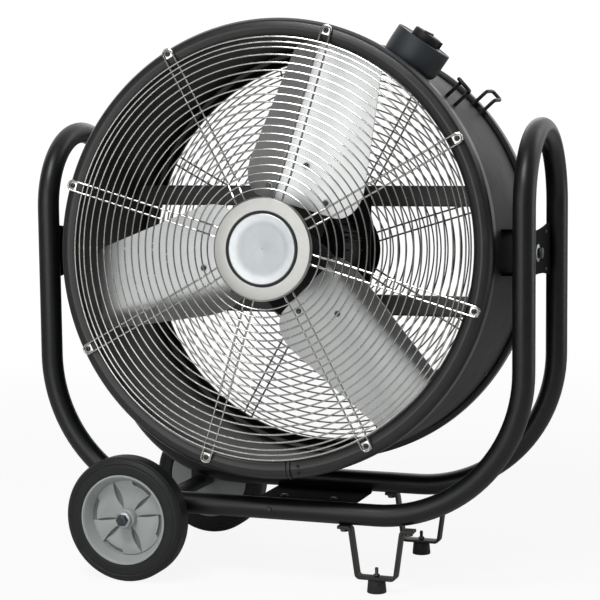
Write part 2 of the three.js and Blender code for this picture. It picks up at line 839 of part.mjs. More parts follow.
// Boss with three flat arms that carry the blades.
function fanHub() {
  const boss = barY(34, -BLADE_FORWARD - 12, -MOTOR_FRONT - 4, 24);
  const thickness = 5;
  const edge = [v2(0, 50), v2(60, 56), v2(100, 56), v2(150, 20)];
  const outline = [...edge, ...edge.toReversed().map((p) => v2(p.x, -p.y))];
  const arms = [];
  for (let i = 0; i < 3; i++) {
    const arm = extruded(outline, thickness).rotateX(Math.PI / 2);
    arm.translate(0, -BLADE_FORWARD + BLADE_SHEET / 2 + 2 * GAP + thickness, 0);
    const pitched = shear(arm, BLADE_PITCH);
    arms.push(pitched.rotateY(-radians(BLADE_PHASE + 120 * i)));
  }
  const bore = barY(10 + GAP, -BLADE_FORWARD - 20, 0, 16);
  const body = joined(boss, ...arms);
  return cutBy(body, bore);
}

// Slopes a piece forward along its chord.
function shear(geometry, slope) {
  const matrix = new THREE.Matrix4().set(1, 0, 0, 0, 0, 1, -slope, 0, 0, 0, 1, 0, 0, 0, 0, 1);
  return geometry.applyMatrix4(matrix);
}

// Shaft with the nut that holds the fan on.
function motorShaft() {
  const shaft = barY(10, -BLADE_FORWARD - 24, -MOTOR_FRONT - GAP, 16);
  const nut = barY(16, -BLADE_FORWARD - 22, -BLADE_FORWARD - 12 - GAP, 6);
  return joined(shaft, nut);
}

// ---------------------------------------------------------------- speed control and cord hooks

// A piece modelled on the Z axis, set on the drum at an angle and a distance forward.
function onDrum(geometry, angle, forward) {
  geometry.rotateY(Math.PI / 2 - radians(angle));
  return geometry.translate(0, -forward, 0);
}

const shellCutter = () => barY(SHELL_RADIUS + GAP, -200, 200, DRUM_SEGMENTS);

function controlHousing() {
  const profile = [
    [0, 330],
    [CONTROL_RADIUS, 330],
    [CONTROL_RADIUS, CONTROL_TOP - 3],
    [CONTROL_RADIUS - 2, CONTROL_TOP - 1],
    [0, CONTROL_TOP - 1],
  ];
  const body = revolveUp(profile, 28);
  const recess = barZ(5 + GAP, CONTROL_TOP - 14, CONTROL_TOP + 5, 12);
  const housing = onDrum(cutBy(body, recess), CONTROL_ANGLE, CONTROL_FORWARD);
  return cutBy(housing, shellCutter());
}

// Gland on the back of the housing, for the supply lead.
function cableGland() {
  const start = CONTROL_RADIUS * Math.cos(Math.PI / 28) + 2 * GAP;
  const nut = barY(9, start, start + 6, 6, 0, 376);
  const neck = barY(6.5, start + 5, start + 16, 10, 0, 376);
  const bore = barY(3.5, start + 4, start + 20, 8, 0, 376);
  return onDrum(cutBy(joined(nut, neck), bore), CONTROL_ANGLE, CONTROL_FORWARD);
}

// Ribbed knob with a raised pointer.
function speedKnob() {
  const low = CONTROL_TOP - 1 + GAP;
  const grip = [];
  const teeth = 14;
  for (let i = 0; i < 2 * teeth; i++) {
    const angle = (i * Math.PI) / teeth;
    const radius = i % 2 ? KNOB_RADIUS : KNOB_RADIUS - 1;
    grip.push(v2(radius * Math.cos(angle), radius * Math.sin(angle)));
  }
  const body = extruded(grip, KNOB_HEIGHT).translate(0, 0, low);
  const pointer = block(-1.5, 1.5, 4, KNOB_RADIUS - 2, low + KNOB_HEIGHT - 1, low + KNOB_HEIGHT + 1.5);
  const spindle = barZ(5, low - 12, low + 1, 10);
  return onDrum(joined(body, pointer, spindle), CONTROL_ANGLE, CONTROL_FORWARD);
}

// Wire hook: two posts on the shell, joined by an end that is bent away along the drum.
function cordHook(away) {
  const foot = SHELL_RADIUS + GAP + 0.3;
  const top = foot + 32;
  const half = 10;
  const reach = 30 * away;
  const corners = [
    v3(-half, 0, foot),
    v3(-half, 0, top),
    v3(-half, -reach, top + 4),
    v3(half, -reach, top + 4),
    v3(half, 0, top),
    v3(half, 0, foot),
  ];
  return swept(polygon(2.5, 6), bentStations(corners, 6, 2));
}

// ---------------------------------------------------------------- assembly

const fan = new THREE.Group();
fan.name = "drum_fan";

function addChassis() {
  const chassis = new THREE.Group();
  fan.add(chassis);
  const halfSpacing = RAIL_SPACING / 2;
  for (const [name, side] of [
    ["right", 1],
    ["left", -1],
  ]) {
    chassis.add(named(`frame_${name}`, frameHalf(side), FRAME_PAINT));
    chassis.add(named(`pivot_plate_${name}`, pivotPlate(side), FRAME_PAINT));
    chassis.add(named(`pivot_bolt_${name}`, pivotBolt(side), ZINC));
    chassis.add(named(`pivot_washer_${name}`, pivotWasher(side), MOTOR_BLACK));
  }
  for (const [name, side] of [
    ["front", -1],
    ["rear", 1],
  ]) {
    chassis.add(named(`rail_spigot_${name}`, railSpigot(side * halfSpacing), BRACKET_PAINT));
    chassis.add(named(`axle_saddle_${name}`, axleSaddle(side), FRAME_PAINT));
    const boltY = side * BASE_BOLT_Y;
    chassis.add(named(`base_bolt_${name}_1`, baseBolt(-BASE_BOLT_X, boltY), ZINC));
    chassis.add(named(`base_bolt_${name}_2`, baseBolt(BASE_BOLT_X, boltY), ZINC));
    addFoot(chassis, name, side);
  }
  chassis.add(named("base_plate", basePlate(), BRACKET_PAINT));
  const axle = named("wheel_axle", wheelAxle(), FRAME_PAINT);
  axle.position.set(WHEEL_X, 0, WHEEL_RADIUS);
  chassis.add(axle);
}

function addFoot(chassis, name, side) {
  const foot = new THREE.Group();
  foot.position.set(FOOT_X, side * FOOT_Y, 0);
  foot.add(named(`foot_bracket_${name}`, footBracket(), BRACKET_PAINT));
  foot.add(named(`foot_pad_${name}`, footPad(), PAD_RUBBER));
  foot.add(named(`foot_stud_${name}`, footStud(), ZINC));
  [-1, 1].forEach((end, i) => {
    const bolt = named(`foot_bolt_${name}_${i + 1}`, footBolt(), ZINC);
    bolt.position.x = end * 53;
    foot.add(bolt);
  });
  chassis.add(foot);
}

function addWheel(name, side) {
  const wheel = new THREE.Group();
  wheel.position.set(WHEEL_X, side * WHEEL_MID_Y, WHEEL_RADIUS);
  if (side < 0) wheel.rotation.z = Math.PI;
  wheel.add(named(`wheel_disc_${name}`, wheelDisc(), HUB_PLASTIC));
  wheel.add(named(`tyre_${name}`, tyre(), TYRE_RUBBER));
  wheel.add(named(`wheel_bolt_${name}`, wheelBolt(), ZINC));
  fan.add(wheel);
}

function addDrum() {
  const drum = new THREE.Group();
  drum.position.z = PIVOT_HEIGHT;
  drum.rotation.x = -REST_TILT;
  drum.add(named("drum_shell", drumShell(), DRUM_PAINT));
  drum.add(named("front_rim", rim(1), DRUM_PAINT));
  drum.add(named("rear_rim", rim(-1), DRUM_PAINT));
  drum.add(named("front_grille", grille(FRONT_CLIP_PHASE), WIRE));
  drum.add(named("rear_grille", toRear(grille(-REAR_CLIP_PHASE)), WIRE));
  drum.add(named("front_hub_collar", hubCollar(), BRUSHED));
  drum.add(named("front_hub_ring", hubRing(), KNOB_PLASTIC));
  drum.add(named("front_hub_badge", hubBadge(), BADGE_SILVER));
  drum.add(named("rear_hub_cap", toRear(rearHubCap()), MOTOR_BLACK));
  drum.add(named("trunnion_right", trunnion(1), BRACKET_PAINT));
  drum.add(named("trunnion_left", trunnion(-1), BRACKET_PAINT));
  drum.add(named("motor_body", motorBody(), MOTOR_BLACK));
  drum.add(named("motor_plate", motorPlate(), BRACKET_PAINT));
  drum.add(named("motor_bar_upper", motorBar(1), DRUM_PAINT));
  drum.add(named("motor_bar_lower", motorBar(-1), DRUM_PAINT));
  drum.add(named("control_housing", controlHousing(), CONTROL_PLASTIC));
  drum.add(named("cable_gland", cableGland(), KNOB_PLASTIC));
  drum.add(named("speed_knob", speedKnob(), KNOB_PLASTIC));
  ["front", "rear"].forEach((name, i) => {
    const away = i === 0 ? 1 : -1;
    const hook = onDrum(cordHook(away), HOOK_ANGLE, HOOK_FORWARD[i]);
    drum.add(named(`cord_hook_${name}`, hook, DRUM_PAINT));
  });
  drum.add(named("fan_hub", fanHub(), MOTOR_BLACK));
  drum.add(named("motor_shaft", motorShaft(), ZINC));
  for (let i = 0; i < 3; i++) {
    const blade = joined(fanBlade(), ...bladeBolts());
    blade.rotateY(-radians(BLADE_PHASE + 120 * i));
    drum.add(named(`fan_blade_${i + 1}`, blade, BLADE_METAL));
  }
  fan.add(drum);
}

addChassis();
addWheel("front", -1);
addWheel("rear", 1);
addDrum();

export default fan;
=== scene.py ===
import math

import bmesh
import bpy
from mathutils import Matrix, Vector


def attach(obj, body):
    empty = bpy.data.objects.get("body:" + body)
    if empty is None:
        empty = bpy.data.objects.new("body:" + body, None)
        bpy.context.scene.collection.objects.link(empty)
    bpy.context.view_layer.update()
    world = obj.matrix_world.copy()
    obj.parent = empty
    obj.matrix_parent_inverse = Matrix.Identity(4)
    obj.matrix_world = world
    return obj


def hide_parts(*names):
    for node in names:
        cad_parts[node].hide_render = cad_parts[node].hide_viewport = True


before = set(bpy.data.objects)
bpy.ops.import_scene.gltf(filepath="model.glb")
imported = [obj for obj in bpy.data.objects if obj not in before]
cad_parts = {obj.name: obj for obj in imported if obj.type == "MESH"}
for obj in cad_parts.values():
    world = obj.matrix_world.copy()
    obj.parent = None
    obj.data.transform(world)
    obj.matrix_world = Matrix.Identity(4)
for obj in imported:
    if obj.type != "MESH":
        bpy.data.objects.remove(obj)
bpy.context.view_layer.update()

MM = 0.001
TAU = 2 * math.pi

# ---- sizes

# Cradle frame
TUBE_RADIUS = 17.5
LEG_SPAN = 796
RAIL_SPACING = 246
RAIL_HEIGHT = 121
FRAME_TOP = 721
CORNER_RADIUS = 234
GAP = 0.3

# What stands on both sides, and at both ends
SIDES = (("right", 1), ("left", -1))
ENDS = (("front", -1), ("rear", 1))

# Plate between the rails
BASE_PLATE_LENGTH = 170
BASE_PLATE_HALF = 107.7
BASE_PLATE_WALL = 4
BASE_LIP_HEIGHT = 8.5
BASE_BOLT_SPACING = 88
BASE_BOLT_Y = 24

# Pivot of the drum
PIVOT_HEIGHT = 527
REST_TILT = 4.2
PIVOT_PLATE_X = 385
PIVOT_PLATE_THICKNESS = 6
PIVOT_PLATE_HEIGHT = 84
PIVOT_PLATE_REACH = 106.5  # half its length
PIVOT_PLATE_WAIST = 8  # how much narrower it is in the middle, above and below
TRUNNION_WEB = 376
TRUNNION_WALL = 4
TRUNNION_HEIGHT = 72
TRUNNION_LENGTH = 120

# Wheels
WHEEL_RADIUS = 101.6
WHEEL_HALF = 20
WHEEL_X = -239.5
WHEEL_MID_Y = 177.5
AXLE_RADIUS = 12.5
WEB_DEPTH = -5  # the disc of the wheel, from the middle of the tyre
WEB_INNER = 18
PANEL_TOP = 0
GROOVES = ((44, 3.2), (113, 4.8), (187, 1.7), (224, 3.2))  # bearings and half widths, round half of the disc
PANEL_REACH = ((55, 61.4), (61.4, 55), (61.4, 61.4))

# Feet
FOOT_X = 166
FOOT_Y = 128
FOOT_PAD_HEIGHT = 20
FOOT_STRAP_WALL = 4.5

# Drum
SHELL_RADIUS = 350
SHELL_WALL = 1.5
SHELL_HALF = 148
RIM_FACE = 163.6
RIM_LAP_TURN = 83

# Guards
RING_FORWARD = 167.6
SPOKE_FORWARD = 164.6
EDGE_RINGS = (328.0, 8.0, 3)  # first radius, pitch, count
INNER_RINGS = (300.6, 12.17, 18)
RISE_FROM, RISE_TO, HUB_RISE = 118, 92, 6.6  # the wires come forward between these radii
CLIP_RADIUS = 347
SPOKE_PAIRS = 8
SPOKE_HALF_PITCH = 7.7
FRONT_CLIP_PHASE = 29.15
REAR_CLIP_PHASE = 16.8
RING_WIRE = 1.35
SPOKE_WIRE = 1.6
COLLAR_RADIUS = 81
HUB_RING_OUTER = 58.3
BADGE_RADIUS = 55

# Fan and motor
BLADE_FORWARD = 90.7
BLADE_PITCH = 0.12
BLADE_PHASE = 73.5
BLADE_TIP = 331
BLADE_ROOT = 72
BLADE_SHEET = 2.2
BLADE_FOLD = 40
MOTOR_RADIUS = 84
MOTOR_FRONT = 40
MOTOR_BACK = -82
BAR_OFFSET = 91
BAR_HEIGHT = 34
BAR_BACK = 88
BAR_DEPTH = 25
BAR_WALL = 3

# Speed control and cord hooks
CONTROL_ANGLE = 55
CONTROL_FORWARD = 85
CONTROL_RADIUS = 46.5
CONTROL_TOP = 397
KNOB_RADIUS = 24
KNOB_HEIGHT = 13
HOOK_ANGLE = 42.3
HOOK_FORWARD = (42, -124)

# Studio, in metres and watts
ROOM_LIGHT = 0.16
WHITE_LEVEL = 1.05
GLOSS_SEES_FLOOR = 0.1
FLOOR_REACH = 40
FLOOR_DROP = 0.0006
LAMP_AIM = 0.5
LAMPS = (  # bearing from the front towards +X and height in degrees, distance, size, power
    ("front_soft_box", -9, 8, 2.2, (1.25, 1.4), 11.5),
    ("left_soft_box", -34, 12, 2.2, (0.9, 1.1), 2.8),
    ("key", -6, 50, 3.2, (1.2, 0.9), 48),
    ("back_fill", 192, 28, 3, (1.4, 1), 7),
    ("rear_top", 125, 40, 3.2, (1.8, 1.4), 12),
    ("right_strip", 106, 2, 2.4, (0.4, 0.9), 5),
)

# Camera, fitted to the circles, tubes and feet of the fan
CAMERA_ANGLES = (19.96, 5.83, -0.61)  # bearing, height and roll in degrees
CAMERA_AIM = (-3.46, 0, 443.43)
CAMERA_DISTANCE = 2.81022
CAMERA_FOCAL = 1707.28 / 600  # in widths of the picture
SENSOR_WIDTH = 36


# ---- nodes and sums

class Value:
    """A socket that takes part in sums. Each sum adds a Math node to the socket's tree."""

    def __init__(self, socket):
        self.socket = socket

    def out(self, name):
        return Value(self.socket.node.outputs[name])

    def math(self, operation, *values):
        return node(self.socket.id_data, "ShaderNodeMath", dict(enumerate(values)), operation=operation)

    def __add__(self, other):
        return self.math("ADD", self, other)

    def __sub__(self, other):
        return self.math("SUBTRACT", self, other)

    def __rsub__(self, other):
        return self.math("SUBTRACT", other, self)

    def __mul__(self, other):
        return self.math("MULTIPLY", self, other)

    __radd__ = __add__
    __rmul__ = __mul__

    def __truediv__(self, other):
        return self.math("DIVIDE", self, other)


def node(tree, kind, sockets=None, **settings):
    """Adds a node: its settings first, then the values or links of its sockets. Returns its first output."""
    made = tree.nodes.new(kind)
    for name, value in settings.items():
        if name == "stops":
            ramp = made.color_ramp
            while len(ramp.elements) < len(value):
                ramp.elements.new(1)
            for element, (place, level) in zip(ramp.elements, value):
                element.position = place
                element.color = (*[level] * 3, 1)
        else:
            setattr(made, name, value)
    for name, value in (sockets or {}).items():
        socket = made.inputs[name]
        if isinstance(value, Value):
            tree.links.new(value.socket, socket)
        else:
            socket.default_value = value
    shown = [socket for socket in made.outputs if socket.enabled]
    return Value(shown[0]) if shown else None


class Finish:
    """A material whose look comes from sums and patterns on the piece's own coordinates."""

    def __init__(self, name, **fixed):
        self.material = bpy.data.materials.new(name)
        self.material.use_nodes = True
        self.tree = self.material.node_tree
        self.shader = self.tree.nodes["Principled BSDF"]
        for socket, value in fixed.items():
            self.shader.inputs[socket.replace("_", " ")].default_value = value
        self.place = self.node("ShaderNodeTexCoord").out("Object")

    def node(self, kind, sockets=None, **settings):
        return node(self.tree, kind, sockets, **settings)

    def noise(self, scale, detail=3, rough=0.5, stretch=(1, 1, 1), place=None):
        """Cloudy pattern from 0 to 1 with features of about 1 / scale metres."""
        spot = self.node("ShaderNodeMapping", {"Vector": place or self.place, "Scale": stretch})
        sockets = {"Vector": spot, "Scale": scale, "Detail": detail, "Roughness": rough}
        return self.node("ShaderNodeTexNoise", sockets)

    def steps(self, value, *stops):
        return self.node("ShaderNodeValToRGB", {"Fac": value}, stops=stops)

    def blend(self, factor, a, b):
        """Colour a where the factor is 0 and b where it is 1."""
        sockets = {0: factor, 6: a if isinstance(a, Value) else (*a, 1), 7: (*b, 1)}
        return self.node("ShaderNodeMix", sockets, data_type="RGBA")

    def done(self, colour, rough, height, depth, strength):
        """Sets the colour, the roughness and bumps of a depth in millimetres. Returns the material."""
        bump = self.node("ShaderNodeBump", {"Height": height, "Distance": depth * MM, "Strength": strength})
        for socket, value in (("Base Color", colour), ("Roughness", rough), ("Normal", bump)):
            self.tree.links.new(value.socket, self.shader.inputs[socket])
        return self.material


# ---- finishes

def shade(colour, by, plus=0):
    return tuple(c * by + plus for c in colour)


def coated(name, colour, rough, grain=900, wear=0.35, shine=0.5):
    """Powder coat: orange-peel skin, cloudy gloss and a little dust."""
    finish = Finish(name, Specular_IOR_Level=shine)
    cloud = finish.noise(9, 4)
    dust = finish.steps(finish.noise(38, 5, 0.65), (0.5, 0), (0.78, 1))
    tone = finish.blend(dust * wear, colour, shade(colour, 1.7, 0.012))
    tone = finish.blend(cloud * 0.5, tone, shade(colour, 0.65))
    dull = rough - 0.06 + cloud * 0.12 + dust * 0.06
    return finish.done(tone, dull, finish.noise(grain, 2), 0.12, 0.22)


def plated(name, colour, rough, stain=0.25):
    """Plated steel: bright, with faint dull spots."""
    finish = Finish(name, Metallic=1)
    spots = finish.steps(finish.noise(120, 4, 0.6), (0.48, 0), (0.72, 1))
    tone = finish.blend(spots * stain, colour, shade(colour, 0.45))
    dull = rough + finish.noise(60, 3) * 0.1 + spots * 0.1
    return finish.done(tone, dull, finish.noise(700, 2), 0.05, 0.15)


def turned(name, colour, rough, bright_from=0.0):
    """Sheet brushed round its own axis, and paler beyond a radius. The radius is the UV's V."""
    finish = Finish(name, Metallic=1)
    uv = finish.node("ShaderNodeTexCoord").out("UV")
    rings = finish.noise(1, 4, 0.7, (0, 2600, 1), uv)
    blotches = finish.noise(110, 5, 0.65)
    tone = colour
    if bright_from:
        radius = finish.node("ShaderNodeSeparateXYZ", {"Vector": uv}).out("Y")
        limits = {"Value": radius, "From Min": bright_from - 0.004, "From Max": bright_from + 0.006}
        outer = finish.node("ShaderNodeMapRange", limits, interpolation_type="SMOOTHSTEP")
        tone = finish.blend(outer, colour, tuple(min(c * 1.5, 0.9) for c in colour))
    tone = finish.blend(rings * 0.2 + blotches * 0.35, tone, shade(colour, 0.7))
    return finish.done(tone, rough - 0.08 + rings * 0.12 + blotches * 0.08, rings, 0.03, 0.3)


def rolled_sheet(name, colour, rough):
    """Mill-finish sheet: streaks along the length of the blade, which is the UV's U."""
    finish = Finish(name, Metallic=1)
    uv = finish.node("ShaderNodeTexCoord").out("UV")
    streaks = finish.noise(1, 5, 0.7, (5, 900, 1), uv)
    broad = finish.noise(1, 3, 0.5, (4, 40, 1), uv)
    tone = finish.blend(streaks * 0.3 + broad * 0.2, colour, shade(colour, 0.7))
    return finish.done(tone, rough - 0.06 + streaks * 0.14 + broad * 0.05, streaks, 0.04, 0.25)


def moulded(name, colour, rough, grain=1500, clouds=0.3):
    """Moulded plastic: fine spark texture and slight flow clouds."""
    finish = Finish(name, Specular_IOR_Level=0.45)
    cloud = finish.noise(26, 3)
    tone = finish.blend(cloud * clouds, colour, shade(colour, 0.72))
    return finish.done(tone, rough - 0.05 + cloud * 0.1, finish.noise(grain, 2), 0.08, 0.2)


def rubbery(name, colour, rough, scuff=0.5):
    """Rubber: matt, dusty, with scuffs."""
    finish = Finish(name, Specular_IOR_Level=0.35)
    cloud = finish.noise(30, 5, 0.6)
    scuffs = finish.steps(finish.noise(160, 5, 0.7), (0.5, 0), (0.75, 1))
    tone = finish.blend(scuffs * scuff, colour, shade(colour, 2.2, 0.01))
    tone = finish.blend(cloud * 0.5, tone, shade(colour, 0.7))
    return finish.done(tone, rough - 0.08 + cloud * 0.14, finish.noise(500, 4), 0.15, 0.35)


FRAME_PAINT = coated("frame_powder_coat", (0.0045, 0.005, 0.0052), 0.38, shine=0.45)
DRUM_PAINT = coated("drum_powder_coat", (0.011, 0.0115, 0.011), 0.5, shine=0.22)
RIM_PAINT = coated("rim_powder_coat", (0.014, 0.0145, 0.014), 0.34, shine=0.5)
PLATE_PAINT = coated("plate_coating", (0.002, 0.0021, 0.0022), 0.82, wear=0.1, shine=0.08)
BAR_PAINT = coated("bar_coating", (0.12, 0.124, 0.12), 0.55, 700, 0.4, 0.3)
BRACKET_PAINT = coated("bracket_coating", (0.032, 0.032, 0.027), 0.55, 700, 0.6, 0.35)
GUARD_WIRE = plated("bright_wire", (0.64, 0.64, 0.61), 0.15)
# The rear guard is the same wire as the front, given a darker colour: painted shade for the light that the
# drum and the front guard keep from it.
REAR_WIRE_PAINTED_SHADE = plated("dull_wire", (0.24, 0.24, 0.23), 0.3)
HUB_STEEL = turned("brushed_collar", (0.43, 0.43, 0.415), 0.34)
BADGE_SILVER = turned("satin_badge", (0.44, 0.46, 0.47), 0.4, 0.041)
BLADE_METAL = rolled_sheet("blade_sheet", (0.65, 0.66, 0.66), 0.3)
MOTOR_BLACK = coated("motor_paint", (0.009, 0.009, 0.0092), 0.55, 500, 0.3, 0.3)
ZINC = plated("zinc_plate", (0.5, 0.53, 0.55), 0.3, 0.5)
DARK_ZINC = plated("dull_zinc", (0.09, 0.1, 0.105), 0.4, 0.6)
HUB_PLASTIC = moulded("wheel_plastic", (0.38, 0.405, 0.395), 0.5, 1200, 0.15)
# Darker plastic on the floor of the wheel's disc, seen in its grooves and notches: painted shade for those
# hollows.
GROOVE_PAINTED_SHADE = moulded("groove_plastic", (0.2, 0.205, 0.19), 0.55, 1200, 0.4)
TYRE_RUBBER = rubbery("tyre_rubber", (0.0125, 0.0135, 0.013), 0.55, 0.3)
PAD_RUBBER = rubbery("pad_rubber", (0.02, 0.021, 0.02), 0.7, 0.6)
CONTROL_PLASTIC = moulded("control_plastic", (0.022, 0.028, 0.034), 0.46)
KNOB_PLASTIC = moulded("knob_plastic", (0.007, 0.0072, 0.0072), 0.55)


# ---- lines and outlines

def rounded(corners, radius, steps=4, closed=True):
    """Corner points with their corners rounded. The ends of an open line stay."""
    corners = [Vector(c) for c in corners]
    last = len(corners) - 1
    line = []
    for i, corner in enumerate(corners):
        if not closed and i in (0, last):
            line.append(corner)
            continue
        before = corners[i - 1] - corner
        after = corners[(i + 1) % len(corners)] - corner
        turn = before.angle(after)
        reach = min(radius / math.tan(turn / 2), before.length * 0.48, after.length * 0.48)
        start = corner + before.normalized() * reach
        end = corner + after.normalized() * reach
        if reach < 1e-4:
            line.append(corner)
            continue
        for k in range(steps + 1):
            s = k / steps
            line.append(start * (1 - s) ** 2 + corner * (2 * s * (1 - s)) + end * s**2)
    return line


def band(line, thickness):
    """The outline of a strip of a thickness that follows an open line of flat points."""
    sides = []
    for i, point in enumerate(line):
        before = line[i] - line[i - 1] if i else line[1] - line[0]
        after = line[i + 1] - line[i] if i < len(line) - 1 else before
        middle = before.normalized() + after.normalized()
        normal = Vector((-middle.y, middle.x)).normalized()
        stretch = 1 / max(normal.dot(Vector((-before.y, before.x)).normalized()), 0.5)
        sides.append((point, normal * stretch * thickness / 2))
    return [p + n for p, n in sides] + [p - n for p, n in reversed(sides)]


def oblong(left, right, half):
    """The corners of a rectangle from left to right, half its height up and down."""
    return [(left, -half), (right, -half), (right, half), (left, half)]


def hexagon(radius):
    return [Vector((radius * math.cos(TAU * i / 6), radius * math.sin(TAU * i / 6))) for i in range(6)]


def arc(centre, from_radius, to_radius, sweep, steps):
    """Points of an arc about a centre, from one radius towards another that is square to it."""
    points = []
    for i in range(steps + 1):
        angle = sweep * i / steps
        points.append(centre + from_radius * math.cos(angle) + to_radius * math.sin(angle))
    return points


# ---- meshes

def linked(name, data):
    made = bpy.data.objects.new(name, data)
    bpy.context.scene.collection.objects.link(made)
    return made


def finished(bm, smooth=40, mesh=None):
    """A mesh from bmesh, with its faces outwards and its soft edges smooth."""
    bmesh.ops.recalc_face_normals(bm, faces=bm.faces)
    if mesh is None:
        mesh = bpy.data.meshes.new("made")
    bm.to_mesh(mesh)
    bm.free()
    mesh.shade_smooth()
    mesh.set_sharp_from_angle(angle=math.radians(smooth))
    return mesh


def turned_about(profile, segments, smooth=40):
    """A closed profile of (radius, distance along Y) points turned about Y. UV is the turn and the radius."""
    bm = bmesh.new()
    uv = bm.loops.layers.uv.new("UVMap")
    columns = []
    poles = {j: bm.verts.new((0, h, 0)) for j, (r, h) in enumerate(profile) if r < 1e-6}
    for i in range(segments):
        c, s = math.cos(TAU * i / segments), math.sin(TAU * i / segments)
        columns.append([poles.get(j) or bm.verts.new((r * c, h, r * s)) for j, (r, h) in enumerate(profile)])
    count = len(profile)
    for i in range(segments):
        left, right = columns[i], columns[(i + 1) % segments]
        for j in range(count):
            k = (j + 1) % count
            corners = []
            square = (left[j], j, i), (right[j], j, i + 1), (right[k], k, i + 1), (left[k], k, i)
            for vert, at, turn in square:
                if not any(vert is other for other, _ in corners):
                    corners.append((vert, (turn / segments, profile[at][0] * MM)))
            if len(corners) > 2:
                face = bm.faces.new([vert for vert, _ in corners])
                for loop, (_, place) in zip(face.loops, corners):
                    loop[uv].uv = place
    return finished(bm, smooth)


def lathed(corners, ease, steps, segments):
    """Corners of (radius, distance forward) with their edges eased, turned about Y."""
    return turned_about([(max(p.x, 0), -p.y) for p in rounded(corners, ease, steps)], segments)


def slab(outline, thickness, bevel=0.6):
    """A flat outline in X and Z, given thickness along Y from 0 backwards, with eased edges."""
    bm = bmesh.new()
    front, back = [[bm.verts.new((p[0], y, p[1])) for p in outline] for y in (0, thickness)]
    bm.faces.new(front)
    bm.faces.new(back)
    for i in range(len(outline)):
        bm.faces.new((front[i - 1], front[i], back[i], back[i - 1]))
    bmesh.ops.recalc_face_normals(bm, faces=bm.faces)
    if bevel:
        rims = [e for e in bm.edges if len(e.link_faces) == 2 and e.calc_face_angle() > math.radians(50)
                and abs(e.verts[0].co.y - e.verts[1].co.y) < 1e-5]
        bmesh.ops.bevel(bm, geom=rims, offset=bevel, segments=2, profile=0.5, affect="EDGES")
    return finished(bm, 32)


def path(points):
    """A line of points for a rod to follow."""
    mesh = bpy.data.meshes.new("path")
    mesh.from_pydata([tuple(p) for p in points], [(i, i + 1) for i in range(len(points) - 1)], [])
    return mesh


def merged(*meshes):
    """Several meshes as one, each with its own finish."""
    bm = bmesh.new()
    materials = []
    for mesh in meshes:
        start = len(bm.faces)
        bm.from_mesh(mesh)
        bm.faces.ensure_lookup_table()
        for face in bm.faces[start:]:
            own = mesh.materials[face.material_index] if mesh.materials else None
            if own not in materials:
                materials.append(own)
            face.material_index = materials.index(own)
    mesh = bpy.data.meshes.new("merged")
    for material in materials:
        mesh.materials.append(material)
    bm.to_mesh(mesh)
    bm.free()
    return mesh


def moved(mesh, *turns, at=(0, 0, 0)):
    """A mesh after turns in degrees, such as (90, "X"), in order, and then a move."""
    matrix = Matrix.Identity(4)
    for angle, axis in turns:
        matrix = Matrix.Rotation(math.radians(angle), 4, axis) @ matrix
    mesh.transform(Matrix.Translation(at) @ matrix)
    return mesh


# ---- geometry node trees

class Tree:
    """A geometry node tree with named inputs. Its last input is the finish."""

    def __init__(self, name, **inputs):
        self.group = bpy.data.node_groups.new(name, "GeometryNodeTree")
        interface = self.group.interface
        interface.new_socket("Geometry", in_out="INPUT", socket_type="NodeSocketGeometry")
        for label, kind in (*inputs.items(), ("Material", "Material")):
            interface.new_socket(label, in_out="INPUT", socket_type=f"NodeSocket{kind}")
        interface.new_socket("Geometry", in_out="OUTPUT", socket_type="NodeSocketGeometry")
        self.start = self.group.nodes.new("NodeGroupInput")

    def __getitem__(self, label):
        return Value(self.start.outputs[label])

    def node(self, kind, sockets=None, **settings):
        return node(self.group, kind, sockets, **settings)

    def index(self):
        return self.node("GeometryNodeInputIndex")

    def vector(self, x=0, y=0, z=0):
        return self.node("ShaderNodeCombineXYZ", {"X": x, "Y": y, "Z": z})

    def points(self, count, place):
        """A number of points, each at a place worked out from its index."""
        row = self.node("GeometryNodeMeshLine", {"Count": count})
        return self.node("GeometryNodeSetPosition", {"Geometry": row, "Position": place})

    def copies(self, points, geometry, **more):
        sockets = {"Points": points, "Instance": geometry, **more}
        made = self.node("GeometryNodeInstanceOnPoints", sockets)
        return self.node("GeometryNodeRealizeInstances", {"Geometry": made})

    def round(self, count, geometry):
        """Copies spread evenly round the Y axis, from a phase in degrees."""
        turn = (self.index() / count * 360 + self["Phase"]) * (-math.pi / 180)
        return self.copies(self.points(count, (0, 0, 0)), geometry, Rotation=self.vector(y=turn))

    def rod(self, curve, radius, sides):
        ring = self.node("GeometryNodeCurvePrimitiveCircle", {"Radius": radius, "Resolution": sides})
        sockets = {"Curve": curve, "Profile Curve": ring, "Fill Caps": True}
        return self.node("GeometryNodeCurveToMesh", sockets)

    def joined(self, *parts):
        join = self.group.nodes.new("GeometryNodeJoinGeometry")
        for part in reversed(parts):
            self.group.links.new(part.socket, join.inputs[0])
        return Value(join.outputs[0])

    def finish(self, geometry):
        """Ends the tree with its instances made real and its finish set."""
        real = self.node("GeometryNodeRealizeInstances", {"Geometry": geometry})
        set_finish = self.node("GeometryNodeSetMaterial", {"Geometry": real, "Material": self["Material"]})
        end = self.group.nodes.new("NodeGroupOutput")
        self.group.links.new(set_finish.socket, end.inputs[0])
        return self


def rod_tree():
    """A round rod or tube along the piece's own line."""
    tree = Tree("round_rod", Radius="Float", Sides="Int")
    curve = tree.node("GeometryNodeMeshToCurve", {"Mesh": tree["Geometry"]})
    return tree.finish(tree.rod(curve, tree["Radius"], tree["Sides"]))


def round_tree():
    """The piece repeated round the Y axis."""
    tree = Tree("repeat_round", Count="Int", Phase="Float")
    return tree.finish(tree.round(tree["Count"], tree["Geometry"]))


def row_tree():
    """The piece repeated in a straight row, spread evenly about its middle."""
    tree = Tree("repeat_row", Count="Int", Step="Vector")
    sockets = {0: tree["Step"], "Scale": tree.index() - (tree["Count"] - 1) / 2}
    place = tree.node("ShaderNodeVectorMath", sockets, operation="SCALE")
    return tree.finish(tree.copies(tree.points(tree["Count"], place), tree["Geometry"]))


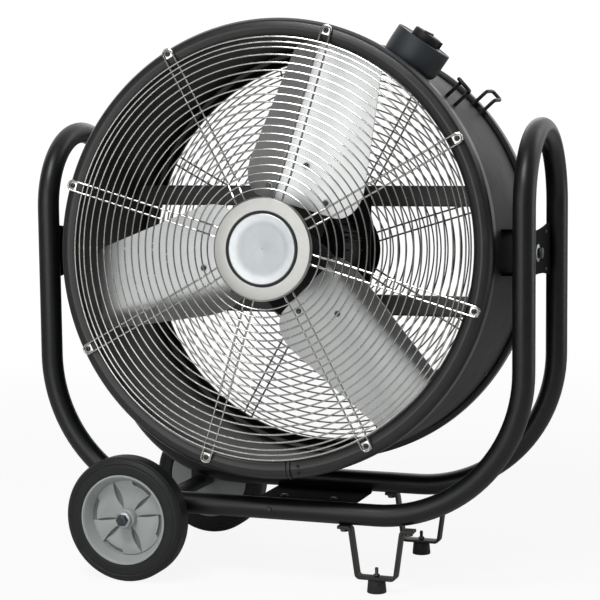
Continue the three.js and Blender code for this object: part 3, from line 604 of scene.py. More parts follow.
def guard_tree():
    """Rings of wire at two pitches on spokes that repeat the piece's own line round the Y axis."""
    sizes = ("Edge Ring", "Edge Pitch", "Inner Ring", "Inner Pitch", "Forward", "Phase", "Ring Wire",
             "Spoke Wire")
    counts = ("Edge Count", "Inner Count", "Pairs")
    tree = Tree("wire_guard", **dict.fromkeys(sizes, "Float"), **dict.fromkeys(counts, "Int"))
    circle = tree.node("GeometryNodeCurvePrimitiveCircle", {"Radius": 1, "Resolution": 180})
    flat = tree.node("GeometryNodeTransform", {"Geometry": circle, "Rotation": (math.pi / 2, 0, 0)})
    parts = []
    for family in ("Edge", "Inner"):
        radius = tree[f"{family} Ring"] - tree[f"{family} Pitch"] * tree.index()
        limits = {"Value": radius, "From Min": RISE_FROM, "From Max": RISE_TO, "To Max": HUB_RISE}
        rise = tree.node("ShaderNodeMapRange", limits, interpolation_type="SMOOTHSTEP")
        points = tree.points(tree[f"{family} Count"], tree.vector(y=0 - tree["Forward"] - rise))
        ring = tree.copies(points, flat, Scale=tree.vector(radius, radius, radius))
        parts.append(tree.rod(ring, tree["Ring Wire"], 8))
    line = tree.node("GeometryNodeMeshToCurve", {"Mesh": tree["Geometry"]})
    parts.append(tree.rod(tree.round(tree["Pairs"], line), tree["Spoke Wire"], 8))
    return tree.finish(tree.joined(*parts))


ROD, ROUND, ROW, GUARD = rod_tree(), round_tree(), row_tree(), guard_tree()


def grown(tree, mesh, material, **inputs):
    """Runs a tree on a mesh and keeps the result as a plain mesh."""
    host = linked("host", mesh)
    modifier = host.modifiers.new("grow", "NODES")
    modifier.node_group = tree.group
    inputs["Material"] = material
    for item in tree.group.interface.items_tree:
        label = item.name.replace(" ", "_")
        if item.in_out == "INPUT" and label in inputs:
            modifier[item.identifier] = inputs[label]
    view = bpy.context.evaluated_depsgraph_get()
    made = bpy.data.meshes.new_from_object(host.evaluated_get(view), depsgraph=view)
    host.modifiers.clear()
    bpy.data.objects.remove(host)
    bm = bmesh.new()
    bm.from_mesh(made)
    return finished(bm, mesh=made)


# ---- setting pieces in place

ROW_FRAME = Matrix.Scale(MM, 4)
TILT = Matrix.Rotation(math.radians(-REST_TILT), 4, "X")
DRUM = ROW_FRAME @ Matrix.Translation((0, 0, PIVOT_HEIGHT)) @ TILT
REAR = Matrix.Rotation(math.pi, 4, "X")


def facing(side, axis="Z"):
    """Half a turn for a piece on the side that counts as -1."""
    return Matrix.Rotation(math.pi if side < 0 else 0, 4, axis)


def in_row(x=0, y=0, z=0, side=1):
    """A place in the row frame, in millimetres."""
    return ROW_FRAME @ Matrix.Translation((x, y, z)) @ facing(side)


def on_drum(angle, forward):
    """Stands a piece that was made on the Z axis on the drum."""
    return DRUM @ Matrix.Translation((0, -forward, 0)) @ Matrix.Rotation(math.radians(90 - angle), 4, "Y")


def finish_with(mesh, material):
    mesh.materials.clear()
    mesh.materials.append(material)
    return mesh


def piece(name, mesh, material, body, slot, place, *stands_for):
    """Sets a finished mesh in place as a piece that rides on a body and stands for CAD nodes."""
    mesh = mesh.copy()
    mesh.name = name
    if not mesh.materials:
        mesh.materials.append(material)
    for i, own in enumerate(mesh.materials):
        mesh.materials[i] = own or material
    mesh.transform(place)
    made = linked(name, mesh)
    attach(made, body)
    if stands_for:
        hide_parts(*stands_for)


def refinish(material, *names):
    """Gives CAD nodes that stay their finish."""
    for name in names:
        finish_with(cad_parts[name].data, material)


# ---- cradle frame

def frame_line(side):
    """Rail, corner, leg, top bend and back, for one half of the loop."""
    half = RAIL_SPACING / 2
    leg = side * LEG_SPAN / 2
    corner = leg - side * CORNER_RADIUS
    lift = RAIL_HEIGHT + CORNER_RADIUS
    out, down = Vector((side * CORNER_RADIUS, 0, 0)), Vector((0, 0, -CORNER_RADIUS))
    front = arc(Vector((corner, -half, lift)), down, out, math.pi / 2, 28)
    bend_centre = Vector((leg, 0, FRAME_TOP - half))
    top = arc(bend_centre, Vector((0, -half, 0)), Vector((0, 0, half)), math.pi, 36)
    rear = arc(Vector((corner, half, lift)), out, down, math.pi / 2, 28)
    start = Vector((side * GAP / 2, -half, RAIL_HEIGHT))
    end = Vector((side * GAP / 2, half, RAIL_HEIGHT))
    return [start, *front, *top, *rear, end]


def hex_bolt(radius, height, washer, washer_height, head_finish=None, washer_finish=None):
    """A hexagon head on a washer, standing up Y from 0 towards the front."""
    head = slab(rounded(hexagon(radius), radius * 0.12, 2), height, height * 0.16)
    top = -washer_height
    moved(head, at=(0, top - height, 0))
    disc = [(0, 0), (washer, 0), (washer, top + 0.3), (washer - 0.4, top), (0, top)]
    plate = turned_about(disc, 32)
    if head_finish:
        finish_with(head, head_finish)
        finish_with(plate, washer_finish)
    return merged(head, plate)


def add_frame():
    for name, side in SIDES:
        tube = grown(ROD, path(frame_line(side)), FRAME_PAINT, Radius=TUBE_RADIUS, Sides=40)
        piece(f"frame_tube_{name}", tube, FRAME_PAINT, "chassis", "frame_paint", ROW_FRAME, f"frame_{name}")
        add_pivot(name, side)
    refinish(BRACKET_PAINT, "rail_spigot_front", "rail_spigot_rear")
    refinish(FRAME_PAINT, "axle_saddle_front", "axle_saddle_rear")
    add_rail_screws()
    add_base_plate()


def pan_screw(r):
    """A low round head of a radius, standing up Y from 0 towards the front."""
    dome = [(0, 0.6), (r, 0.6), (r, -r * 0.3), (r * 0.75, -r * 0.6), (0, -r * 0.72)]
    return turned_about(dome, 24)


def add_rail_screws():
    for name, side in ENDS:
        spot = (8 * side, side * (RAIL_SPACING / 2 + TUBE_RADIUS), 0)
        screw = moved(pan_screw(3.4), (90 + 90 * side, "Z"), at=spot)
        piece(f"rail_screw_{name}", screw, DARK_ZINC, "chassis", "zinc", in_row(z=RAIL_HEIGHT + 2))


def add_pivot(name, side):
    """A plate between the legs with a waist, the bolt that the drum turns on, and four small screws."""
    half = PIVOT_PLATE_HEIGHT / 2
    waist = half - PIVOT_PLATE_WAIST
    top = []
    for i in range(25):
        t = i / 12 - 1
        top.append(Vector((t * PIVOT_PLATE_REACH, waist + (half - waist) * t * t)))
    outline = top + [Vector((p.x, -p.y)) for p in reversed(top)]
    outer = PIVOT_PLATE_X + PIVOT_PLATE_THICKNESS
    plate = moved(slab(outline, PIVOT_PLATE_THICKNESS, 0.8), (90, "Z"), at=(outer, 0, PIVOT_HEIGHT))
    place = in_row(side=side)
    piece(f"pivot_web_{name}", plate, PLATE_PAINT, "chassis", "frame_paint", place, f"pivot_plate_{name}")
    head = hex_bolt(9.5, 7, 14, 2.5, DARK_ZINC, ZINC)
    shank = turned_about([(0, 0), (5.9, 0), (5.9, 30), (0, 30)], 32)
    spots = [(x, GAP, z) for x in (-66, 66) for z in (-30, 30)]
    small = [finish_with(moved(pan_screw(3), at=spot), DARK_ZINC) for spot in spots]
    bolt = moved(merged(head, shank, *small), (90, "Z"), at=(outer + GAP, 0, PIVOT_HEIGHT))
    piece(f"pivot_screw_{name}", bolt, ZINC, "chassis", "zinc", place, f"pivot_bolt_{name}")
    refinish(KNOB_PLASTIC, f"pivot_washer_{name}")


def add_base_plate():
    wall = BASE_PLATE_WALL
    half = BASE_PLATE_HALF - wall / 2
    bottom = RAIL_HEIGHT - TUBE_RADIUS
    low, high = bottom + wall / 2, bottom + BASE_LIP_HEIGHT
    line = rounded([(-half, high), (-half, low), (half, low), (half, high)], 5, 5, False)
    plate = moved(slab(band(line, wall), BASE_PLATE_LENGTH), (90, "Z"), at=(BASE_PLATE_LENGTH / 2, 0, 0))
    piece("cross_plate", plate, PLATE_PAINT, "chassis", "frame_paint", ROW_FRAME, "base_plate")
    bolt = moved(hex_bolt(5.5, 2.4, 7, 1.2), (-90, "X"))
    row = grown(ROW, bolt, DARK_ZINC, Count=2, Step=(BASE_BOLT_SPACING, 0, 0))
    for name, side in ENDS:
        place = in_row(0, side * BASE_BOLT_Y, bottom + wall + GAP)
        nodes = (f"base_bolt_{name}_1", f"base_bolt_{name}_2")
        piece(f"cross_plate_screws_{name}", row, DARK_ZINC, "chassis", "zinc", place, *nodes)


# ---- feet

def add_feet():
    half = FOOT_STRAP_WALL / 2
    top = RAIL_HEIGHT - TUBE_RADIUS - GAP - half
    low = FOOT_PAD_HEIGHT + GAP + half
    right = [(27, low), (31.3, low + 3), (42, top), (62, top)]
    corners = [(-x, z) for x, z in reversed(right)] + right
    strap = slab(band(rounded(corners, 6, 5, False), FOOT_STRAP_WALL), 20, 0.7)
    moved(strap, at=(0, -10, 0))
    pad = [(0, 0), (15.4, 0), (15.2, 3), (13.6, FOOT_PAD_HEIGHT), (0, FOOT_PAD_HEIGHT)]
    pad = moved(lathed(pad, 0.9, 3, 56), (-90, "X"))
    thread = [(0, 8), *[(2.9 if i % 2 else 2.5, 26 + i * 0.5) for i in range(26)], (2, 39.4), (0, 39.6)]
    stud = moved(turned_about([(r, -h) for r, h in thread], 20, 60), (-90, "X"))
    nut = moved(slab(rounded(hexagon(5.4), 0.6, 2), 3.4, 0.5), (90, "X"), at=(0, 0, 25.5))
    fixing = merged(stud, nut)
    bolt = moved(hex_bolt(6.5, 3.6, 8, 1.3), (90, "X"))
    row = moved(grown(ROW, bolt, DARK_ZINC, Count=2, Step=(106, 0, 0)), at=(0, 0, top - half - GAP))
    for name, side in ENDS:
        place = in_row(FOOT_X, side * FOOT_Y)
        bolts = (f"foot_bolt_{name}_1", f"foot_bolt_{name}_2")
        for kind, mesh, material, slot, nodes in (
            ("strap", strap, BRACKET_PAINT, "bracket_paint", (f"foot_bracket_{name}",)),
            ("rubber", pad, PAD_RUBBER, "pad_rubber", (f"foot_pad_{name}",)),
            ("fixing", fixing, DARK_ZINC, "zinc", (f"foot_stud_{name}",)),
            ("screws", row, DARK_ZINC, "zinc", bolts),
        ):
            piece(f"foot_{kind}_{name}", mesh, material, "chassis", slot, place, *nodes)


# ---- wheels

def wheel_point(degrees, radius, across=0):
    """A flat point of the wheel, at a bearing and a radius and some way across."""
    c, s = math.cos(math.radians(degrees)), math.sin(math.radians(degrees))
    return Vector((-radius * c + across * s, radius * s + across * c))


def panel_outline(start, end, reach):
    """One raised panel of the wheel between two grooves that are widest half way out."""
    def edge(groove, side, out):
        line = []
        for i in range(9):
            clear = side * (0.4 + groove[1] * math.sin(math.pi * (i / 8) ** 0.85))
            line.append(wheel_point(groove[0], WEB_INNER + (out - WEB_INNER) * i / 8, clear))
        return line

    def rim(radius, first, last):
        return [wheel_point(first + (last - first) * i / 8, radius) for i in range(1, 9)]

    middle = (start[0] + end[0]) / 2
    outer = rim(reach[0], start[0] + 2, middle) + rim(reach[1], middle - 1, end[0] - 2)
    return edge(start, 1, reach[0]) + outer + list(reversed(edge(end, -1, reach[1])))


def wheel_hub():
    """Moulded disc: deep barrel, boss and raised panels with grooves between them, whose darker floor is
    painted shade.
    """
    half = WHEEL_HALF
    profile = rounded([
        (8.3, -half + 1), (17, -half + 1), (60, -half + 1.5), (66, -half + 1), (73.2, -half + 1),
        (69, -half + 6), (69, half - 6), (73.6, half - 2), (72.8, half - 0.2), (70.4, half - 0.4),
        (68.4, half - 3), (61.6, PANEL_TOP + 1), (61, WEB_DEPTH), (19, WEB_DEPTH), (17, PANEL_TOP),
        (16, 9), (15, 10), (12.8, 10.2), (12.4, half - 5), (8.3, half - 5),
    ], 1.1, 3)
    # The floor of the disc, darker than the panels: painted shade in the grooves and notches.
    under, over = WEB_DEPTH - 0.5, WEB_DEPTH + 0.1
    floor = turned_about([(WEB_INNER, under), (61.4, under), (61.4, over), (WEB_INNER, over)], 96)
    parts = [finish_with(turned_about(profile, 160), HUB_PLASTIC), finish_with(floor, GROOVE_PAINTED_SHADE)]
    for start, end, reach in zip(GROOVES, GROOVES[1:], PANEL_REACH):
        panel = moved(slab(panel_outline(start, end, reach), PANEL_TOP - under, 0.5), at=(0, under, 0))
        parts.append(grown(ROUND, panel, HUB_PLASTIC, Count=2, Phase=0.0))
    return merged(*parts)


def tyre_mesh():
    side = [(69.3, 13.7), (74.4, 18.8), (76.5, 19.4), (88, 19.6), (89, 18.9), (90.2, 18.9),
            (91.5, 19.8), (94, 19.2), (98.6, 16.4), (100.2, 13.6), (WHEEL_RADIUS, 12.4)]
    profile = side + [(x, -y) for x, y in reversed(side)]
    return turned_about(rounded(profile, 1.2, 3), 160, 30)


def add_wheels():
    screw = hex_bolt(9.8, 6.8, 12.6, 2.2, DARK_ZINC, ZINC)
    moved(screw, (180, "Z"), at=(0, WHEEL_HALF - 5 + GAP, 0))
    kinds = (("hub", wheel_hub(), HUB_PLASTIC, "wheel_plastic", "wheel_disc"),
             ("tyre", tyre_mesh(), TYRE_RUBBER, "tyre_rubber", "tyre"),
             ("screw", screw, ZINC, "zinc", "wheel_bolt"))
    for name, side in ENDS:
        place = in_row(WHEEL_X, side * WHEEL_MID_Y, WHEEL_RADIUS, side)
        for kind, mesh, material, slot, node_name in kinds:
            piece(f"wheel_{kind}_{name}", mesh, material, f"wheel_{name}", slot, place, f"{node_name}_{name}")
    half = WHEEL_MID_Y - WHEEL_HALF - 2
    stub = WHEEL_MID_Y + WHEEL_HALF - 5
    profile = [(0, -stub), (8, -stub), (8, -half), (AXLE_RADIUS, -half), (AXLE_RADIUS, half),
               (8, half), (8, stub), (0, stub)]
    axle = turned_about([(max(p.x, 0), p.y) for p in rounded(profile, 0.7, 2)], 48)
    place = in_row(WHEEL_X, 0, WHEEL_RADIUS)
    piece("axle_tube", axle, FRAME_PAINT, "chassis", "frame_paint", place, "wheel_axle")


# ---- drum

def add_drum_shell():
    r, wall, half = SHELL_RADIUS, SHELL_WALL, SHELL_HALF
    shell = turned_about([(r - wall, -half), (r, -half), (r, half), (r - wall, half)], 240)
    piece("drum_wall", shell, DRUM_PAINT, "drum", "drum_paint", DRUM, "drum_shell")
    line = [(r + 1.4, 132.2), (358, 132.2), (358, 152), (353, 160.8), (343, 163), (331.5, 158.6),
            (328.2, 148)]
    rim = turned_about([(p.x, -p.y) for p in band(rounded(line, 7, 6, False), 2)], 240)
    piece("rolled_rim_front", rim, RIM_PAINT, "drum", "drum_paint", DRUM, "front_rim")
    piece("rolled_rim_rear", rim, RIM_PAINT, "drum", "drum_paint", DRUM @ REAR, "rear_rim")


def add_drum_details():
    """Screws through the shell wall, and the lapped joint of the front rim."""
    for name, angle in (("right", -35), ("left", 215)):
        screw = moved(pan_screw(3.6), (-90, "X"), at=(0, 0, SHELL_RADIUS))
        piece(f"wall_screw_{name}", screw, DARK_ZINC, "drum", "drum_paint", on_drum(angle, -104))
    line = rounded([(359.2, 138), (359.2, 152.6), (353.5, 162), (343, 164.3), (330.9, 159.9)], 7, 6, False)
    laps = []
    for thick, length, finish in ((1.4, 5, RIM_PAINT), (0.8, 8, PLATE_PAINT)):
        lap = slab([(p.x, -p.y) for p in band(line, thick)], length, 0.1)
        laps.append(finish_with(moved(lap, (-90, "X"), at=(0, 0, length / 2)), finish))
    laps += [moved(finish_with(pan_screw(2.3), DRUM_PAINT), at=(r, -RIM_FACE, 17)) for r in (339, 350)]
    place = DRUM @ Matrix.Rotation(math.radians(RIM_LAP_TURN), 4, "Y")
    piece("rim_lap_front", merged(*laps), RIM_PAINT, "drum", "drum_paint", place)


def spoke_line():
    """The middle of a pair of spokes bent from one wire, along +X, with the loop round its screw."""
    side, flat = SPOKE_HALF_PITCH, -SPOKE_FORWARD
    near, foot = flat - HUB_RISE, flat - 2.3
    leg = [(78, near), (RISE_TO, near), (RISE_FROM, flat), (316, flat), (326, foot)]
    out = rounded([(x, y, side) for x, y in leg], 12, 4, False)
    back = rounded([(x, y, -side) for x, y in reversed(leg)], 12, 4, False)
    loop = arc(Vector((CLIP_RADIUS, foot, 0)), Vector((0, 0, side)), Vector((side, 0, 0)), math.pi, 16)
    return [*out, *loop, *back]


def clip_washer():
    """Square washer with rounded corners under the screw in a spoke loop."""
    square = rounded(oblong(-7.4, 7.4, 7.4), 2.4, 4)
    return moved(slab(square, 1.5, 0.3), at=(CLIP_RADIUS + 0.5, -SPOKE_FORWARD - 1.5, 0))


def clip_screw():
    dome = [(0, -1.4), (4.4, -1.4), (4.4, -2.6), (3.9, -3.8), (2.8, -4.5), (0, -4.7)]
    return moved(turned_about(dome, 28), at=(CLIP_RADIUS, -SPOKE_FORWARD, 0))


def painted_recess_shade():
    """The cross in the head of the screw, as raised black bars: painted shade where the recess would be."""
    bars = [slab(oblong(-a, a, b), 0.8, 0) for a, b in ((3, 0.6), (0.6, 3))]
    return moved(merged(*bars), (20, "Y"), at=(CLIP_RADIUS, -SPOKE_FORWARD - 4.9, 0))


def add_guards():
    sizes = dict(Forward=RING_FORWARD, Pairs=SPOKE_PAIRS, Ring_Wire=RING_WIRE, Spoke_Wire=SPOKE_WIRE)
    for family, rings in (("Edge", EDGE_RINGS), ("Inner", INNER_RINGS)):
        sizes.update({f"{family}_{label}": value for label, value in zip(("Ring", "Pitch", "Count"), rings)})
    # The black cross on each screw head is painted shade for its recess.
    fixings = ((clip_washer(), GUARD_WIRE), (clip_screw(), DARK_ZINC), (painted_recess_shade(), MOTOR_BLACK))
    for name, phase, wire, place in (
        ("front", FRONT_CLIP_PHASE, GUARD_WIRE, DRUM),
        # the rear guard's darker wire colour is painted shade
        ("rear", -REAR_CLIP_PHASE, REAR_WIRE_PAINTED_SHADE, DRUM @ REAR),
    ):
        guard = grown(GUARD, path(spoke_line()), wire, Phase=phase, **sizes)
        piece(f"guard_{name}", guard, wire, "drum", "guard_wire", place, f"{name}_grille")
        parts = [grown(ROUND, mesh, material, Count=SPOKE_PAIRS, Phase=phase) for mesh, material in fixings]
        piece(f"guard_screws_{name}", merged(*parts), ZINC, "drum", "guard_wire", place)


def add_hub():
    r, edge, disc = COLLAR_RADIUS, HUB_RING_OUTER, BADGE_RADIUS
    collar = [(0, 174.9), (r, 174.9), (r, 179), (r - 2.5, 181), (edge + 1.4, 182), (edge + 0.4, 181.2),
              (edge + GAP, 176.4), (0, 176.4)]
    ring = [(disc + 0.2, 176.7), (edge, 176.7), (edge, 181.9), (disc + 0.2, 181.9)]
    badge = [(0, 176.8), (disc, 176.8), (disc, 181.8), (53.6, 182.4), (41, 180.9), (37, 180.6), (0, 180.6)]
    for name, corners, ease, steps, material, slot, node_name in (
        ("hub_collar", collar, 0.8, 3, HUB_STEEL, "hub_steel", "front_hub_collar"),
        ("hub_trim", ring, 0.4, 2, KNOB_PLASTIC, "knob_plastic", "front_hub_ring"),
        ("hub_disc", badge, 1.6, 5, BADGE_SILVER, "badge_silver", "front_hub_badge"),
    ):
        piece(name, lathed(corners, ease, steps, 160), material, "drum", slot, DRUM, node_name)
    cap = [(0, 174.9), (r, 174.9), (r, 177), (r - 3, 179), (60, 179.4), (56, 178), (0, 178)]
    cap = lathed(cap, 1, 3, 120)
    piece("rear_hub_disc", cap, DRUM_PAINT, "drum", "drum_paint", DRUM @ REAR, "rear_hub_cap")


def add_trunnions():
    half, web, wall = TRUNNION_HEIGHT / 2, TRUNNION_WEB, TRUNNION_WALL
    foot = math.sqrt(SHELL_RADIUS**2 - half**2) + 1
    line = rounded(oblong(foot, web - wall / 2, half - wall / 2), 4, 5, False)
    channel = moved(slab(band(line, wall), TRUNNION_LENGTH), at=(0, -TRUNNION_LENGTH / 2, 0))
    for name, side in SIDES:
        place = DRUM @ facing(side, "Y")
        piece(f"drum_bracket_{name}", channel, PLATE_PAINT, "drum", "frame_paint", place, f"trunnion_{name}")


# ---- motor and fan

def add_motor():
    front, back = MOTOR_FRONT, MOTOR_BACK
    can = lathed([(0, front), (26, front), (30, front - 8), (67, front - 14), (79, front - 26),
                  (79, back + 8), (74, back), (0, back)], 2.5, 4, 120)
    fin = moved(slab(oblong(76, MOTOR_RADIUS - 0.3, 1.2), 76, 0.4), at=(0, -front + 34, 0))
    fins = grown(ROUND, fin, MOTOR_BLACK, Count=36, Phase=0.0)
    piece("motor_can", merged(can, fins), MOTOR_BLACK, "drum", "motor_casting", DRUM, "motor_body")
    corners = [(92, 86), (70, 112), (-70, 112), (-92, 86)]
    outline = rounded(corners + [(-x, -z) for x, z in corners], 6, 4)
    plate = moved(slab(outline, 5), at=(0, -back + GAP, 0))
    piece("motor_carrier", plate, DRUM_PAINT, "drum", "drum_paint", DRUM, "motor_plate")
    half, wall = BAR_HEIGHT / 2, BAR_WALL
    section = band(rounded(oblong(BAR_DEPTH, wall / 2, half - wall / 2), 3, 4, False), wall)
    reach = math.sqrt((SHELL_RADIUS - SHELL_WALL - 1) ** 2 - (BAR_OFFSET + half) ** 2)
    for name, side in (("upper", 1), ("lower", -1)):
        bar = moved(slab(section, 2 * reach, 0), (90, "Z"), at=(reach, BAR_BACK, side * BAR_OFFSET))
        piece(f"motor_channel_{name}", bar, BAR_PAINT, "drum", "drum_paint", DRUM, f"motor_bar_{name}")


def blade_height(chord):
    """How far forward of the pivot the sheet lies: pitched, with one edge bent up."""
    past = chord - BLADE_FOLD
    return BLADE_FORWARD + BLADE_PITCH * chord + 0.745 * (math.hypot(past, 8) + past) / 2


def blade_mesh():
    """One blade along +X: narrow at the root, rounded, and cut to the circle of the tips."""
    rows, columns = 54, 40
    grid = []
    for i in range(rows + 1):
        u = BLADE_ROOT + (BLADE_TIP - BLADE_ROOT) * (0.5 - 0.5 * math.cos(math.pi * i / rows))
        t = (u - BLADE_ROOT) / (BLADE_TIP - BLADE_ROOT)
        root = 44 * (1 - math.sqrt(max(1 - ((132 - min(u, 132)) / 60) ** 2, 0)))
        tip = 20 * max((u - 308) / 23, 0) ** 2
        low = -(108 - 38 * t) + root + tip
        high = 84 - 22 * t - 0.7 * root - tip
        row = []
        for j in range(columns + 1):
            chord = low + (high - low) * j / columns
            row.append((min(u, math.sqrt(BLADE_TIP**2 - chord**2)), chord))
        grid.append(row)
    bm = bmesh.new()
    uv = bm.loops.layers.uv.new("UVMap")
    sheets = []
    for offset in (BLADE_SHEET / 2, -BLADE_SHEET / 2):
        sheets.append([[bm.verts.new((u, -blade_height(c) - offset, c)) for u, c in row] for row in grid])
    for sheet in sheets:
        for i in range(rows):
            for j in range(columns):
                bm.faces.new((sheet[i][j], sheet[i + 1][j], sheet[i + 1][j + 1], sheet[i][j + 1]))
    rim = [(0, j) for j in range(columns)] + [(i, columns) for i in range(rows)]
    rim += [(rows, j) for j in range(columns, 0, -1)] + [(i, 0) for i in range(rows, 0, -1)]
    for (a, b), (c, d) in zip(rim, rim[1:] + rim[:1]):
        bm.faces.new((sheets[0][a][b], sheets[0][c][d], sheets[1][c][d], sheets[1][a][b]))
    for face in bm.faces:
        for loop in face.loops:
            loop[uv].uv = (loop.vert.co.x * MM, loop.vert.co.z * MM)
    return finished(bm)


def add_fan():
    boss = lathed([(0, 46), (36, 46), (33, 60), (33, 100), (30, 103), (0, 103)], 2, 3, 72)
    edge = [(0, 50), (60, 56), (100, 56), (150, 20)]
    arm = slab(rounded(edge + [(x, -y) for x, y in reversed(edge)], 9, 4), 5)
    moved(arm, at=(0, -BLADE_FORWARD + BLADE_SHEET / 2 + GAP, 0))
    slope = Matrix.Identity(4)
    slope[1][2] = -BLADE_PITCH
    arm.transform(slope)
    arms = grown(ROUND, arm, MOTOR_BLACK, Count=3, Phase=BLADE_PHASE)
    piece("hub_spider", merged(boss, arms), MOTOR_BLACK, "rotor", "motor_casting", DRUM, "fan_hub")
    end = lathed([(0, 103), (10, 103), (10, 113), (8.5, 114.7), (0, 114.7)], 0.6, 2, 40)
    nut = moved(slab(rounded(hexagon(15.8), 1.5, 2), 8.5, 1), at=(0, -111.6, 0))
    piece("shaft_end", merged(end, nut), ZINC, "rotor", "zinc", DRUM, "motor_shaft")
    head = finish_with(turned_about([(0, 0.4), (4.6, 0.4), (4.6, -2), (3.6, -3.4), (0, -3.8)], 28), DARK_ZINC)
    seat = finish_with(turned_about([(0, 0.4), (6.2, 0.4), (6.2, -0.7), (5.9, -1), (0, -1)], 28), ZINC)
    rivet = merged(head, seat)
    rivets = []
    for reach, chord in ((138, 0), (90.5, 47), (90.5, -47)):
        face = blade_height(chord) + BLADE_SHEET / 2
        rivets.append(moved(rivet.copy(), at=(reach, -face, chord)))
    blade = blade_mesh()
    for i in range(3):
        phase = BLADE_PHASE + 120 * i
        sheet = grown(ROUND, blade, BLADE_METAL, Count=1, Phase=phase)
        made = merged(sheet, moved(merged(*rivets), (-phase, "Y")))
        piece(f"blade_{i + 1}", made, BLADE_METAL, "rotor", "blade_aluminium", DRUM, f"fan_blade_{i + 1}")


# ---- speed control and hooks

def add_control():
    r, top = CONTROL_RADIUS, CONTROL_TOP
    foot = SHELL_RADIUS + GAP
    lower = rounded([(0, foot), (r - 1, foot), (r, foot + 25)], 12, 8, False)
    upper = [(r, foot + 25), (r, top - 1), (r - 1, top), (r - 4, top), (r - 5.5, top - 1.2), (0, top - 1.2)]
    profile = lower + rounded(upper, 0.8, 3, False)[1:]
    body = moved(turned_about([(max(p.x, 0), -p.y) for p in profile], 96), (-90, "X"))
    place = on_drum(CONTROL_ANGLE, CONTROL_FORWARD)
    piece("control_box", body, CONTROL_PLASTIC, "drum", "control_plastic", place, "control_housing")
    r, low = KNOB_RADIUS, top + GAP - 1.2
    high = low + KNOB_HEIGHT
    grip = lathed([(0, low), (r - 0.9, low), (r - 0.9, low + 11), (r - 2.5, high), (0, high)], 1, 3, 96)
    ridge = rounded([(r - 3, -1.5), (r, -1), (r, 1), (r - 3, 1.5)], 0.6, 2)
    ridge = moved(slab(ridge, 11.4, 0.5), at=(0, -low - 12, 0))
    ridges = grown(ROUND, ridge, KNOB_PLASTIC, Count=22, Phase=0.0)
    pointer = rounded([(-3.2, -20), (3.2, -20), (1.6, 21), (-1.6, 21)], 1.5, 3)
    pointer = moved(slab(pointer, 3, 0.8), at=(0, -low - 15.4, 0))
    knob = moved(merged(grip, ridges, pointer), (-90, "X"))
    piece("dial_knob", knob, KNOB_PLASTIC, "knob", "knob_plastic", place, "speed_knob")
    refinish(KNOB_PLASTIC, "cable_gland")


def add_hooks():
    foot, half = SHELL_RADIUS + 0.3, 10
    top = foot + 32
    for name, forward, away in (("front", HOOK_FORWARD[0], 30), ("rear", HOOK_FORWARD[1], -30)):
        corners = [(-half, 0, foot), (-half, 0, top), (-half, -away, top + 4), (half, -away, top + 4),
                   (half, 0, top), (half, 0, foot)]
        hook = grown(ROD, path(rounded(corners, 7, 6, False)), FRAME_PAINT, Radius=3.1, Sides=16)
        place = on_drum(HOOK_ANGLE, forward)
        piece(f"wire_hook_{name}", hook, FRAME_PAINT, "drum", "frame_paint", place, f"cord_hook_{name}")


# ---- stage

def towards(bearing, height):
    """A direction from its bearing, from the front towards +X, and its height, in radians."""
    flat = math.cos(height)
    return Vector((math.sin(bearing) * flat, -math.cos(bearing) * flat, math.sin(height)))


def area_lamp(name, bearing, height, distance, size, power):
    """A soft box aimed at the middle of the fan."""
    away = towards(math.radians(bearing), math.radians(height))
    lamp = bpy.data.lights.new(name, "AREA")
    lamp.shape = "RECTANGLE"
    lamp.size, lamp.size_y = size
    lamp.energy = power
    made = linked(name, lamp)
    made.location = Vector((0, 0, LAMP_AIM)) + away * distance
    made.rotation_euler = away.to_track_quat("Z", "Y").to_euler()
    made.visible_camera = False


def bare_tree(owner):
    owner.use_nodes = True
    owner.node_tree.nodes.clear()
    return owner.node_tree


def end_tree(tree, kind, shader):
    tree.links.new(shader.socket, tree.nodes.new(kind).inputs[0])


def seeing_rays(tree, gloss):
    """The share of white that a ray sees: all from the camera or through glass, some off a gloss."""
    rays = node(tree, "ShaderNodeLightPath")
    return rays.out("Is Camera Ray") + rays.out("Is Transmission Ray") + rays.out("Is Glossy Ray") * gloss


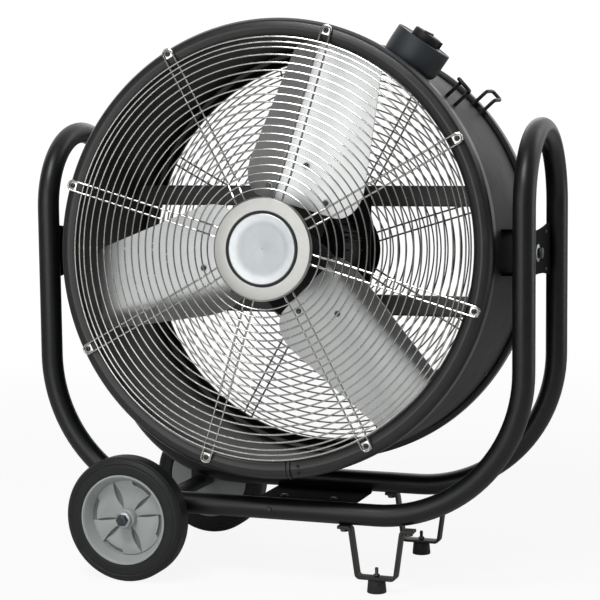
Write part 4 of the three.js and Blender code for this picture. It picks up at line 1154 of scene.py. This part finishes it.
def add_floor():
    """Pale floor that is seen as white, with the fan's shadow on it."""
    finish = bpy.data.materials.new("pale_floor")
    tree = bare_tree(finish)
    place = node(tree, "ShaderNodeTexCoord").out("Object")
    distance = node(tree, "ShaderNodeVectorMath", {0: place}, operation="LENGTH").out("Value")
    far = node(tree, "ShaderNodeMapRange", {"Value": distance, "From Min": 1.2, "From Max": 4})
    pale = node(tree, "ShaderNodeBsdfDiffuse", {"Color": (0.7, 0.7, 0.7, 1)})
    white = node(tree, "ShaderNodeEmission", {"Color": (1, 1, 1, 1), "Strength": WHITE_LEVEL})
    share = seeing_rays(tree, GLOSS_SEES_FLOOR) * (0.86 + far * 0.14)
    mixed = node(tree, "ShaderNodeMixShader", {0: share, 1: pale, 2: white})
    end_tree(tree, "ShaderNodeOutputMaterial", mixed)
    mesh = bpy.data.meshes.new("floor")
    corners = oblong(-FLOOR_REACH, FLOOR_REACH, FLOOR_REACH)
    mesh.from_pydata([(x, y, 0) for x, y in corners], [], [(0, 1, 2, 3)])
    mesh.materials.append(finish)
    floor = linked("floor", mesh)
    floor.location.z = -FLOOR_DROP


def add_studio():
    """White backdrop behind the fan, a dim room before it, and soft boxes."""
    world = bpy.data.worlds.new("studio")
    bpy.context.scene.world = world
    tree = bare_tree(world)
    view = node(tree, "ShaderNodeTexCoord").out("Generated")
    behind = node(tree, "ShaderNodeSeparateXYZ", {0: view}).out("Y")
    backdrop = node(tree, "ShaderNodeMapRange", {"Value": behind, "From Min": -0.1, "From Max": 0.5})
    strength = ROOM_LIGHT + seeing_rays(tree, backdrop) * (WHITE_LEVEL - ROOM_LIGHT)
    sky = node(tree, "ShaderNodeBackground", {"Color": (1, 1, 1, 1), "Strength": strength})
    end_tree(tree, "ShaderNodeOutputWorld", sky)
    for lamp in LAMPS:
        area_lamp(*lamp)


def add_camera():
    bearing, height, roll = map(math.radians, CAMERA_ANGLES)
    back = towards(bearing, height)
    right = Vector((math.cos(bearing), math.sin(bearing), 0))
    up = back.cross(right)
    across = right * math.cos(roll) + up * math.sin(roll)
    upward = up * math.cos(roll) - right * math.sin(roll)
    spot = Vector(CAMERA_AIM) * MM + back * CAMERA_DISTANCE
    data = bpy.data.cameras.new("camera")
    data.sensor_width = SENSOR_WIDTH
    data.lens = SENSOR_WIDTH * CAMERA_FOCAL
    camera = linked("camera", data)
    camera.matrix_world = Matrix.Translation(spot) @ Matrix((across, upward, back)).transposed().to_4x4()
    bpy.context.scene.camera = camera


add_camera()
add_frame()
add_feet()
add_wheels()
add_drum_shell()
add_drum_details()
add_guards()
add_hub()
add_trunnions()
add_motor()
add_fan()
add_control()
add_hooks()
add_floor()
add_studio()
bpy.context.scene.view_settings.view_transform = "Standard"

bpy.context.view_layer.update()
